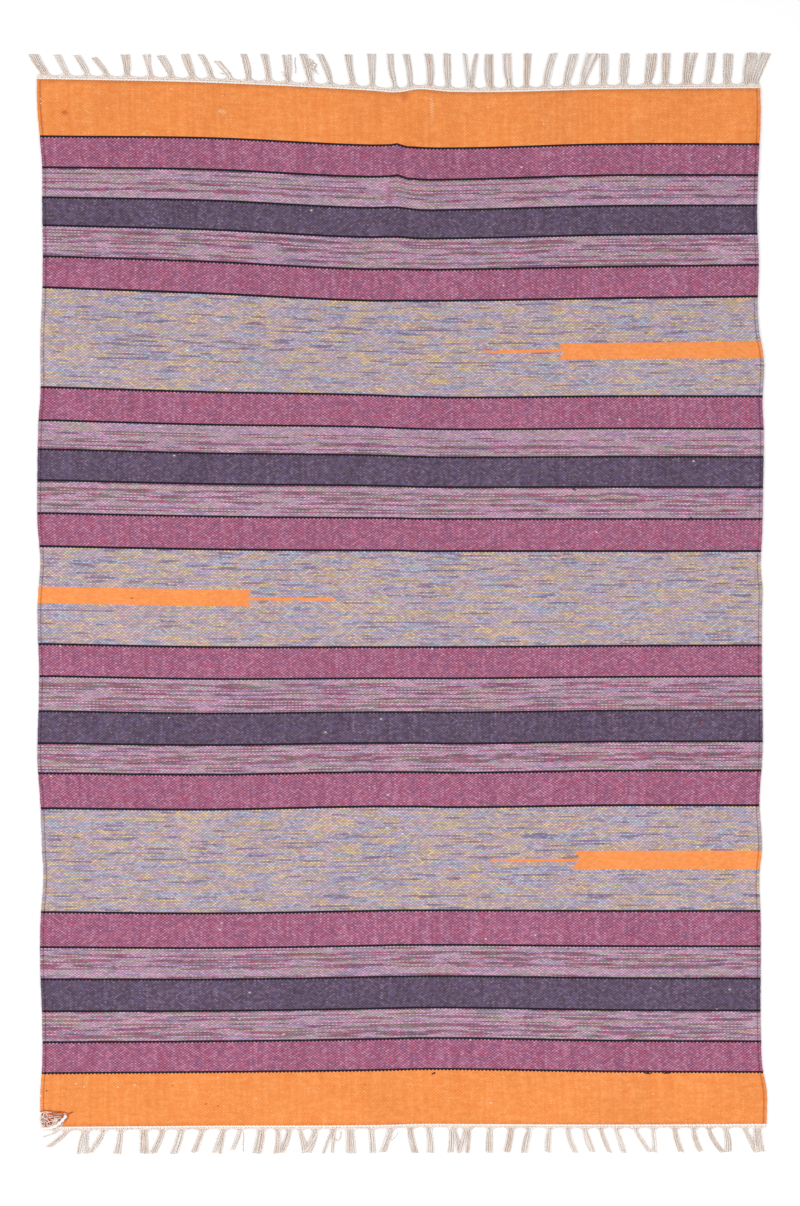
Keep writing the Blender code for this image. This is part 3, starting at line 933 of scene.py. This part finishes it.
def addStrand(store, path, thick, flat, turn, sides=6, phase=0.0, endSize=0.85):
    path = np.asarray(path, float)
    steps = np.linalg.norm(np.diff(path, axis=0), axis=1)
    along = np.concatenate(([0], np.cumsum(steps)))
    tangent = np.gradient(path, axis=0)
    tangent /= np.linalg.norm(tangent, axis=1)[:, None]
    beside = np.cross(tangent, (0, 0, 1.0))
    beside /= np.linalg.norm(beside, axis=1)[:, None]
    above = np.cross(beside, tangent)
    theta = 2 * math.pi * along / (turn * mm) + phase
    angles = np.arange(sides) / sides * 2 * math.pi
    size = np.ones(len(path)) * thick / 2 * mm
    size[[0, -1]] *= endSize
    oval = np.stack((np.cos(angles), flat * np.sin(angles)))
    aside = oval[0][None, :] * np.cos(theta)[:, None] - oval[1][None, :] * np.sin(theta)[:, None]
    upward = oval[0][None, :] * np.sin(theta)[:, None] + oval[1][None, :] * np.cos(theta)[:, None]
    ring = path[:, None, :] + size[:, None, None] * (
        aside[:, :, None] * beside[:, None, :] + upward[:, :, None] * above[:, None, :]
    )
    first = store["count"]
    store["points"].append(ring.reshape(-1, 3))
    number = store["strands"]
    last = first + (len(path) - 1) * sides
    for r in range(len(path) - 1):
        for k in range(sides):
            n = (k + 1) % sides
            a, b = first + r * sides + k, first + r * sides + n
            store["faces"].append((a, a + sides, b + sides, b))
            u = (number + k / sides, number + (k + 1) / sides - shortOfNext)
            v = (along[r] / mm, along[r + 1] / mm)
            store["maps"] += [(u[0], v[0]), (u[0], v[1]), (u[1], v[1]), (u[1], v[0])]
    store["faces"].append(tuple(range(first, first + sides)))
    store["faces"].append(tuple(range(last, last + sides))[::-1])
    store["maps"] += [(number + 0.5, 0.0)] * sides + [(number + 0.5, along[-1] / mm)] * sides
    store["count"] += len(path) * sides
    store["strands"] += 1


def finishStore(store, name, material):
    faces = store["faces"]
    return makePiece(
        name, np.vstack(store["points"]), faces, [material], [0] * len(faces), [("strand", store["maps"])]
    )


# A smooth path through a few points, with evenly spaced stations.
def smoothPath(points, count):
    points = np.asarray(points, float)
    along = np.concatenate(([0], np.cumsum(np.linalg.norm(np.diff(points, axis=0), axis=1))))
    at = np.linspace(0, along[-1], count)
    return np.stack([smoothCurve(along, points[:, k], at) for k in range(3)], axis=-1)


headingLook = {
    "cordPlace": 1.55,      # mm out from the last row to the white twined cord
    "cordHigh": 2.45,
    "cordPly": 2.3,
    "cordCoil": 1.0,        # radius of each ply's turn round the other
    "cordTurn": 12.2,
    "cordPerTurn": 14,      # stations
    "knotPlace": 5.4,       # the thin line of turned-back warps beyond it
    "knotHigh": 1.9,
    "knotPly": 1.5,
    "knotCoil": 0.5,
    "knotTurn": 8.5,
    "knotPerTurn": 9,
    "plyFlat": 0.9,
    "plyTurn": 3,           # how many turns of a cord one turn of its plies takes
    "knotStart": 1.0,       # mm in from the rug's left side, and from its right one for both
    "rightInset": 0.6,
}
ribLook = {  # the bare warps under the cords
    "reach": (-1.2, 6.0),   # mm out from the last row
    "thick": 2.6,
    "broad": 1.1,
    "flat": 0.8,
    "turn": 30.0,
    "high": 0.64,
    "slope": 0.05,          # how fast they fall to both sides of their middle
    "middle": 3.0,
}
# The row of each end, its way outward, the line of its tips from left to right in mm, and
# how far in from the left side its twined cord starts.
ends = {
    "far": {"row": 0.0, "side": 1, "tips": (913.5, 916.0), "from": 1.0},
    "near": {"row": lastRow, "side": -1, "tips": (-916.5, -913.0), "from": 31.0},
}
tableTop = 871.7        # where the far end lies in the tips' own measure, in mm from mid rug


def endPlace(end, across, outward, high):
    across = np.atleast_1d(np.asarray(across, float))
    y = rowY(end["row"], across) + end["side"] * np.asarray(outward, float) * mm
    return np.stack((acrossX(across), y, np.broadcast_to(np.asarray(high, float) * mm, y.shape)), axis=-1)


def endSides(end):
    return [float(sideAt(end["row"], column)[0]) for column in (leftSide, rightSide)]


# Two plies that wind round a line beside the last row, from one side of the rug to the other.
def addTwinedCord(store, end, outward, high, ply, coil, turn, perTurn, start):
    look = headingLook
    left, right = endSides(end)
    left, right = left + start, right - look["rightInset"]
    across = np.linspace(left, right, int((right - left) / turn * perTurn))
    for half in (0, math.pi):
        theta = 2 * math.pi * (across - left) / turn + half
        path = endPlace(end, across, outward + coil * np.cos(theta), high + coil * np.sin(theta))
        addStrand(store, path, ply, look["plyFlat"], turn * look["plyTurn"], phase=half)


# The bare warps under the cords, side by side as low ribs.
def addWarpRibs(store, end, start):
    look = ribLook
    left, right = endSides(end)
    gap = (right - left) / rugPlan["warps"]
    outward = np.linspace(*look["reach"], 4)
    high = look["thick"] * look["high"] - look["slope"] * np.abs(outward - look["middle"])
    for x in np.arange(left + start + gap, right - gap, gap):
        path = endPlace(end, np.full(4, x), outward, high)
        addStrand(store, path, look["thick"] * look["broad"], look["flat"], look["turn"], sides=5, phase=x)


def makeHeading(name, end):
    look = headingLook
    cord, knots = newStore(), newStore()
    for store, part, start in ((cord, "cord", end["from"]), (knots, "knot", look["knotStart"])):
        place, high, ply, coil, turn, perTurn = (
            look[part + word] for word in ("Place", "High", "Ply", "Coil", "Turn", "PerTurn")
        )
        addTwinedCord(store, end, place, high, ply, coil, turn, perTurn, start)
    addWarpRibs(knots, end, look["knotStart"])
    return [
        finishStore(cord, name + "TwinedCord", cotton["headingCotton"]),
        finishStore(knots, name + "WarpTurns", cotton["warpCotton"]),
    ]


# The fringe's bundles from the left, in mm: root, lean of the tips, yarns, how far the tips fan
# out, how much shorter than the trimmed line (0), and the gap between two prongs (0).
farBundles = [
    (-592.0, -18, 10, 1.15), (-556, -15, 7, 1.15), (-521, -17, 7, 1.2, 1), (-488, -22, 6, 1.0, 5),
    (-455, -3, 7, 1.5), (-415, -7, 6, 1.3, 0, 3), (-381, -18, 7, 1.2, 2), (-346, -12, 7, 1.3),
    (-315, -17, 7, 1.1, 1), (-283, -22, 6, 1.0, 11), (-253, -8, 7, 1.1), (-219, -8, 7, 1.2),
    (-187, -3, 7, 1.1, 1, 4), (-150, -12, 7, 1.3), (-117, -17, 7, 1.3), (-79, -8, 7, 1.2, 1),
    (-47, -1, 7, 1.4, 0, 2), (-9, -8, 6, 1.2), (16, -7, 7, 1.2, 1), (49, -3, 8, 1.3), (79, -2, 7, 1.2),
    (116, 0, 9, 1.0, 0, 13), (149, -2, 9, 1.1, 1), (181, -4, 7, 1.3), (209, 2, 7, 1.3),
    (242, 13, 7, 1.2), (275, 13, 8, 1.3, 1), (303, 18, 7, 1.6, 0, 4), (336, 2, 8, 1.2), (371, 3, 8, 1.2),
    (411, 7, 9, 1.3, 1), (440, 2, 7, 1.2), (476, 7, 11, 1.2, 0, 3), (511, 7, 8, 1.2),
    (543, 2, 9, 1.2, 1), (576, 8, 10, 1.3), (589, 18, 9, 1.3),
]
nearBundles = [
    (-573, -22, 2, 1.0, 28), (-556, -29, 6, 1.0, 12), (-524, -5, 8, 1.3, 0, 3), (-494, -22, 6, 1.0, 2),
    (-466, -6, 7, 1.3), (-427, 0, 9, 1.2), (-396, -15, 7, 1.2, 1), (-365, -12, 7, 1.2),
    (-330, -13, 6, 1.1, 2), (-296, -10, 7, 1.2, 0, 3), (-268, -12, 5, 1.0, 6), (-232, -7, 9, 1.2),
    (-204, -3, 6, 1.2), (-185, -12, 6, 1.2, 1), (-167, 8, 5, 1.4, 2), (-142, -15, 6, 1.5, 0, 4),
    (-112, -9, 7, 0.9, 0, 11), (-84, 2, 9, 1.3), (-49, 3, 7, 1.2), (-17, -13, 7, 1.2, 1),
    (16, 8, 7, 1.2), (47, 3, 7, 1.3), (87, 3, 9, 1.3, 0, 5), (111, -7, 9, 1.2, 0, 4), (149, -1, 7, 1.3),
    (184, -7, 7, 1.1, 1), (214, -8, 6, 1.2), (248, -3, 5, 1.3), (278, 13, 6, 1.2), (307, 13, 5, 1.2, 1),
    (334, 14, 5, 1.2), (359, 12, 5, 1.2), (391, 23, 5, 1.1), (420, 3, 5, 1.2), (456, 11, 6, 1.2),
    (488, 12, 5, 1.2, 1), (513, 22, 5, 1.1), (541, 4, 6, 1.3), (573, 20, 6, 1.2), (594, 4, 9, 1.2),
]

fringeLook = {
    "yarn": 2.15,
    "yarnVaries": (0.88, 1.08),
    "flat": 0.72,
    "turn": 10.5,
    "stations": 34,
    "edge": 1.5,            # mm that the outermost roots keep from the rug's sides
    "gather": [  # mm out from the last row, shares of the root's and of the neck's place, height
        (3.0, 1.0, 0.0, 1.8), (4.8, 0.9, 0.1, 2.0), (6.6, 0.42, 0.58, 2.4),
    ],
    "neckOut": 9.2,
    "neckPitch": 1.5,       # mm between yarns where a bundle leaves the heading
    "neckRise": 0.3,
    "wingReach": 15.0,      # mm along the heading that its outermost yarns come from
    "wander": 1.5,
    "tipWander": 0.7,
    "high": 0.62,           # the lower layer's height, in yarn thicknesses
    "layer": 1.15,
    "lift": 0.25,
    "uneven": 2.2,
    "seed": 27,
}


# The line that the tips were trimmed along, at a bundle's root.
def trimY(end, root):
    first, last = end["tips"]
    return farY + (first + (last - first) * (root / rugPlan["width"] + 0.5) - tableTop) * mm


def makeFringe(name, end, bundles):
    look = fringeLook
    draw = random.Random(look["seed"] + end["side"])
    store = newStore()
    roots = [bundle[0] for bundle in bundles]
    left, right = endSides(end)
    for b, bundle in enumerate(bundles):
        root, lean, yarns, fan, short, prongs = (*bundle, 0, 0)[:6]
        before = (root - roots[b - 1]) / 2 if b else look["wingReach"]
        after = (roots[b + 1] - root) / 2 if b + 1 < len(roots) else look["wingReach"]
        middle = (yarns - 1) / 2
        sway = draw.uniform(-1, 1) * look["wander"]
        for i in range(yarns):
            share = (i - middle) / middle
            reach = min(after if share > 0 else before, look["wingReach"])
            start = min(max(root + share * reach, left + look["edge"]), right - look["edge"])
            aside = (i - middle) * look["neckPitch"]
            neck = root + aside
            prong = prongs / 2 * (1 if share > 0 else -1)
            scatter = draw.uniform(-look["tipWander"], look["tipWander"])
            tip = root + lean + aside * fan + prong + scatter
            high = look["yarn"] * look["high"] + (look["layer"] if (i + b) % 2 else 0)
            tipY = trimY(end, root) - end["side"] * (short + draw.uniform(0, look["uneven"])) * mm
            bend = draw.uniform(-1, 1) * look["wander"]
            places = [(start * own + neck * shared, out, z) for out, own, shared, z in look["gather"]]
            places.append((neck, look["neckOut"], high + look["neckRise"]))
            path = [endPlace(end, *place)[0] for place in places]
            neckY = path[-1][1]
            for t in (0.3, 0.55, 0.8, 1.0):
                across = neck + (tip - neck) * t ** 1.2 + (sway + bend) * math.sin(math.pi * t)
                lift = high + look["lift"] * draw.uniform(0, 1) * (1 - t)
                path.append((float(acrossX(across)), neckY + (tipY - neckY) * t, lift * mm))
            addStrand(
                store, smoothPath(path, look["stations"]), look["yarn"] * draw.uniform(*look["yarnVaries"]),
                look["flat"], look["turn"], phase=draw.uniform(0, 6.28),
            )
    return finishStore(store, name, cotton["warpCotton"])


farFringe = makeFringe("farFringe", ends["far"], farBundles)
nearFringe = makeFringe("nearFringe", ends["near"], nearBundles)
headings = makeHeading("farHeading", ends["far"]) + makeHeading("nearHeading", ends["near"])
print("fringes made:", len(farFringe.data.polygons), "and", len(nearFringe.data.polygons), "faces")

# Yarns in the torn corner, as points in mm from the cloth's corner: inward, upward, height.
looseCord = [
    (-0.3, -2.8, 2.75), (10.5, -2.8, 2.9), (19.6, -0.8, 3.2), (27.9, 3.5, 3.6), (33.7, 8.8, 4.4),
    (38.4, 13.8, 5.4), (42.5, 18.8, 5.8),
]
tornWarps = [
    [(1.6, 24.8, 4.2), (9.8, 20.4, 4.0), (12.4, 16.6, 2.6)],
    [(0.9, 18.5, 2.2), (5.4, 15.3, 3.2), (11.0, 11.0, 2.0)],
    [(0.9, 9.6, 1.6), (7.3, 13.4, 3.0), (14.3, 15.3, 3.6), (24.5, 16.6, 3.4), (33.4, 16.6, 2.6)],
    [(14.3, 14.0, 2.4), (18.7, 11.8, 3.4), (28.3, 12.8, 3.2), (35.9, 15.3, 2.2)],
    [(9.8, 12.8, 1.8), (13.7, 7.7, 3.2), (15.6, 1.9, 1.8)],
    [(16.2, 8.9, 2.0), (21.9, 10.2, 3.0), (24.5, 6.4, 3.2), (19.4, 1.9, 1.6)],
    [(20.7, 5.1, 1.6), (27.0, 7.7, 2.8), (30.2, 10.2, 1.8)],
    [(2.2, 4.5, 2.2), (4.1, 1.0, 2.8), (9.8, -1.9, 2.0)],
    [(18.1, 2.6, 2.2), (23.2, 5.1, 3.4), (28.3, 3.9, 2.0)],
    [(3.0, 21.0, 1.6), (8.0, 22.0, 2.4), (16.0, 20.0, 1.8), (21.0, 15.0, 1.4)],
    [(5.5, -2.0, 1.4), (6.5, 5.0, 2.2), (4.5, 12.0, 1.8), (6.5, 18.0, 1.4)],
    [(26.0, -1.0, 1.4), (26.5, 5.0, 2.0), (24.0, 10.0, 2.4), (26.0, 15.0, 1.4)],
]
tornWefts = [
    [(-1.5, 25.0, 3.2), (9.0, 26.8, 3.9), (21.0, 25.2, 4.2), (33.0, 25.0, 4.2), (43.0, 22.6, 4.2),
     (45.8, 18.6, 4.0), (43.0, 12.5, 3.6), (37.5, 4.0, 2.8)],
    [(-1.0, 10.8, 1.7), (3.5, 13.1, 2.4), (9.0, 12.0, 1.8)],
    [(37.2, 14.7, 2.2), (33.5, 10.5, 2.8), (30.2, 7.0, 2.0)],
    [(43.0, 21.0, 4.1), (48.0, 22.6, 4.4), (54.0, 25.0, 3.5)],
]
tornLook = {
    "warp": 1.7, "weft": 2.9,       # thickness
    "warpFlat": 0.7, "flat": 0.75, "turn": 9.0, "tangleTurn": 8.0,
    "matRows": 9, "matStart": 1.5, "matPitch": 2.6,     # the wefts left under the tear
    "tangle": 14, "tangleStep": 5.5, "tangleHeights": (2.4, 4.2),
    "cordStations": 44, "perTurn": 14, "loosen": 1.45,  # the cord opens towards its loose end
    "seed": 8,
}


def addCornerStrands(store, paths, thick, flat, turn):
    for k, path in enumerate(paths):
        points = [cornerPoint(*point) for point in path]
        length = sum(math.dist(a, b) for a, b in zip(points, points[1:])) / mm
        addStrand(store, smoothPath(points, max(8, round(length / 1.3))), thick, flat, turn, phase=k * 0.9)


def drawMat(draw):
    look = tornLook
    mat = []
    for k in range(look["matRows"]):
        upward = look["matStart"] + k * look["matPitch"]
        reach = 30.0 + 9.0 * min(1.0, upward / 14) + draw.uniform(-3, 1)
        begin = draw.uniform(0, 5)
        mat.append([
            (begin + (reach - begin) * t, upward + draw.uniform(-1.3, 1.3), 1.7 + draw.uniform(-0.1, 0.2))
            for t in (0, 0.3, 0.6, 1)
        ])
    return mat


# Short warps that lie anyhow, kept within the corner. Points that nearly meet are left out.
def drawTangle(draw):
    step, (lowest, highest) = tornLook["tangleStep"], tornLook["tangleHeights"]
    tangle = []
    for k in range(tornLook["tangle"]):
        heading = draw.uniform(-0.9, 0.9) + (math.pi if k % 2 else 0)
        inward, height = draw.uniform(3, 31), draw.uniform(2.4, 3.0)
        upward = draw.uniform(2, 21 - 0.35 * inward)
        points = []
        for _ in range(draw.choice((4, 5, 6))):
            if not points or math.dist(points[-1], (inward, upward, height)) > 1:
                points.append((inward, upward, height))
            inward = min(max(inward + step * math.cos(heading), 0.5), 20 + upward * 0.75)
            upward = min(max(upward + step * math.sin(heading), 0.5), 23 - 0.35 * inward)
            heading += draw.uniform(-1.0, 1.0)
            height = min(max(height + draw.uniform(-0.9, 1.1), lowest), highest)
        if len(points) > 1:
            tangle.append(points)
    return tangle


def addLooseCord(store):
    look = tornLook
    path = smoothPath([cornerPoint(*point) for point in looseCord], look["cordStations"])
    tangent = np.gradient(path, axis=0)
    beside = np.stack((-tangent[:, 1], tangent[:, 0], np.zeros(len(path))), axis=-1)
    beside /= np.linalg.norm(beside, axis=1)[:, None]
    theta = np.arange(len(path)) / look["perTurn"] * 2 * math.pi
    coil = headingLook["cordCoil"] * mm * np.linspace(1.0, look["loosen"], len(path))
    thick, turn = headingLook["cordPly"] * look["loosen"], headingLook["cordTurn"] * headingLook["plyTurn"]
    for half in (0, math.pi):
        turned = path + (coil * np.cos(theta + half))[:, None] * beside
        turned[:, 2] += coil * np.sin(theta + half)
        addStrand(store, turned, thick, headingLook["plyFlat"], turn, phase=half)


def makeTornCorner():
    look = tornLook
    draw = random.Random(look["seed"])
    warps, wefts, cord = newStore(), newStore(), newStore()
    addCornerStrands(warps, tornWarps, look["warp"], look["warpFlat"], look["turn"])
    addCornerStrands(wefts, tornWefts, look["weft"], look["flat"], look["turn"])
    addCornerStrands(wefts, drawMat(draw), look["weft"], look["flat"], look["turn"])
    addCornerStrands(warps, drawTangle(draw), look["warp"], look["flat"], look["tangleTurn"])
    addLooseCord(cord)
    return [
        finishStore(warps, "tornCornerWarps", cotton["warpCotton"]),
        finishStore(wefts, "tornCornerWefts", cotton["tornWeft"]),
        finishStore(cord, "looseHeadingCord", cotton["headingCotton"]),
    ]


tornPieces = makeTornCorner()
print("torn corner made")

# Loose yarns near the two ends, as points in mm across and along from the rug's middle.
looseYarns = {
    "warpCotton": (2.0, [
        [(-197.8, 884.0, 4.6), (-194.0, 877.0, 6.0), (-189.0, 871.0, 5.6), (-187.4, 866.0, 5.0)],
        [(-109.0, -877.0, 3.2), (-109.4, -886.0, 2.2), (-106.0, -893.6, 1.4), (-100.5, -890.0, 1.6),
         (-99.0, -876.5, 3.4)],
        [(-137.0, -877.0, 4.4), (-143.0, -890.0, 4.4), (-152.0, -903.0, 3.4), (-158.0, -911.0, 1.4)],
        [(-137.0, 879.5, 4.0), (-144.0, 884.0, 3.2), (-152.0, 889.0, 3.0), (-147.0, 897.0, 2.4),
         (-154.0, 904.0, 1.4)],
    ]),
    "soiledCotton": (1.3, [
        [(-151.0, 905.0, 1.2), (-144.5, 901.5, 1.8), (-150.0, 895.0, 3.4), (-141.0, 891.5, 3.2),
         (-147.5, 887.0, 2.6)],
        [(-146.0, 899.0, 1.2), (-139.5, 896.0, 1.6), (-143.5, 889.0, 2.4), (-138.5, 884.5, 2.6)],
        [(-175.2, 880.5, 3.0), (-174.2, 888.0, 1.8), (-175.6, 898.0, 1.0), (-174.8, 908.0, 0.9)],
        [(-261.4, -878.0, 3.0), (-260.6, -888.0, 1.8), (-261.8, -900.0, 1.0), (-261.0, -911.5, 0.9)],
        [(-4.0, -879.0, 3.6), (-8.0, -886.0, 4.6), (-15.0, -893.0, 4.0)],
        [(-300.0, 881.0, 3.0), (-292.0, 880.0, 2.6), (-282.0, 881.5, 3.0)],
    ]),
}
# Slubs and caught bits on the face: across, along, length, slope in degrees.
slubs = {
    "headingCotton": (1.7, [
        (-539.0, -798.5, 3.4, 30), (-526.0, -803.5, 3.0, 60), (-469.5, -803.5, 2.6, 10),
        (-597.5, -805.5, 2.6, 90), (-598.0, -818.5, 2.8, 90), (-598.8, 839.0, 2.4, 90),
        (-597.6, 831.0, 2.2, 80), (-420.0, 820.0, 2.0, 20), (-488.0, 823.5, 2.2, 40),
        (150.0, -830.0, 2.2, 0), (420.0, -815.0, 2.4, 30), (-240.0, -822.0, 2.2, 15),
        (-96.0, 395.0, 2.6, 5), (205.0, 40.0, 2.6, 0), (-385.0, -190.0, 2.6, 20), (330.0, -350.0, 2.4, 0),
    ]),
    "darkYarn": (2.6, [
        (54.0, -781.5, 4.6, 10), (56.6, -780.5, 3.2, 70), (-588.0, -810.0, 1.4, 30),
        (482.5, 142.0, 4.0, 60), (288.5, 189.5, 6.0, -30), (381.5, -725.0, 13.0, 4),
        (411.0, -781.0, 11.0, -3), (443.0, -780.6, 12.0, 3),
    ]),
    "orangeYarn": (2.4, [
        (-517.5, 552.5, 3.6, 20), (-512.0, 300.5, 2.6, 0), (96.0, -455.0, 2.6, 10),
    ]),
    "tornWeft": (1.8, [
        (-537.5, 773.0, 3.4, 10), (431.5, -754.5, 3.4, 0), (-379.0, -801.0, 3.0, 30),
        (-323.5, -832.0, 3.4, 20), (-303.0, -835.0, 2.6, 60), (520.0, -836.0, 2.6, 0),
        (-60.0, -800.0, 2.4, 50),
    ]),
}


looseLook = {"flat": 0.72, "turn": 9.0, "stations": 20, "phaseStep": 1.1, "endSize": 0.85}
slubLook = {
    "flat": 0.7, "turn": 9.0, "stations": 6, "phaseStep": 1.3, "endSize": 0.5,
    "high": 4.05, "arch": 0.35,     # mm
}


def placeLoose(*points):
    return [(float(acrossX(across)), along * mm, high * mm) for across, along, high in points]


def placeSlub(across, along, length, slope):
    run = length / 2 * math.cos(math.radians(slope))
    rise = length / 2 * math.sin(math.radians(slope))
    return placeLoose(*(
        (across + run * t, along + rise * t, slubLook["high"] + slubLook["arch"] * (1 - t * t))
        for t in (-1, 0, 1)
    ))


def makeLoosePieces(prefix, groups, place, look):
    pieces = []
    for material, (thick, items) in groups.items():
        store = newStore()
        for k, item in enumerate(items):
            addStrand(
                store, smoothPath(place(*item), look["stations"]), thick, look["flat"], look["turn"],
                phase=k * look["phaseStep"], endSize=look["endSize"],
            )
        name = prefix + material[0].upper() + material[1:]
        pieces.append(finishStore(store, name, cotton[material]))
    return pieces


loosePieces = makeLoosePieces("loose", looseYarns, placeLoose, looseLook)
loosePieces += makeLoosePieces("slubs", slubs, placeSlub, slubLook)
print("loose yarns and slubs made")

# Plain camera, floor and light. The camera looks straight down, 85 mm lens, so that the
# frame's long side covers 2.004 m of the rug's face.
studio = {
    "cameraPlace": (0.00096, 0.00071),
    "cameraHeight": 4.737,
    "lens": 85.0,
    "sensor": 36,
    "floorSize": 60.0,
    "floorColour": "#FBFBFB",
    "worldStrength": 0.6,
    "lamps": [  # name, place, size, power
        ("softLeft", (-2.3, -0.2, 3.2), 2.4, 67.0),
        ("softRight", (2.4, -1.6, 3.3), 2.6, 68.0),
    ],
}


def makeStudio():
    bpy.ops.object.camera_add(location=(*studio["cameraPlace"], studio["cameraHeight"]), rotation=(0, 0, 0))
    camera = bpy.context.object
    camera.name = "studioCamera"
    camera.data.lens = studio["lens"]
    camera.data.sensor_width = studio["sensor"]
    bpy.context.scene.camera = camera
    bpy.ops.mesh.primitive_plane_add(size=studio["floorSize"], location=(0, 0, 0))
    floor = bpy.context.object
    floor.name = "floor"
    surface = {"Base Color": shade(studio["floorColour"]), "Roughness": 0.95, "Specular IOR Level": 0.1}
    floor.data.materials.append(newMaterial("paleFloor", surface)[0])
    for name, place, size, power in studio["lamps"]:
        bpy.ops.object.light_add(type="AREA", location=place)
        lamp = bpy.context.object
        lamp.name = name
        lamp.data.size = size
        lamp.data.energy = power
        aim = -lamp.location
        lamp.rotation_mode = "QUATERNION"
        lamp.rotation_quaternion = aim.to_track_quat("-Z", "Y")
    world = bpy.data.worlds.new("softWorld")
    world.use_nodes = True
    background = world.node_tree.nodes["Background"]
    background.inputs["Color"].default_value = (1, 1, 1, 1)
    background.inputs["Strength"].default_value = studio["worldStrength"]
    bpy.context.scene.world = world
    bpy.context.scene.view_settings.view_transform = "Standard"


makeStudio()
print("studio made")

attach(kilimCloth, "root")
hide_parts("woven_cloth")
for selvedge in (leftSelvedge, rightSelvedge):
    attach(selvedge, "root")
for piece in [farFringe, nearFringe, *headings, *tornPieces, *loosePieces]:
    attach(piece, "root")
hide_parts("fringe_far")
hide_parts("fringe_near")
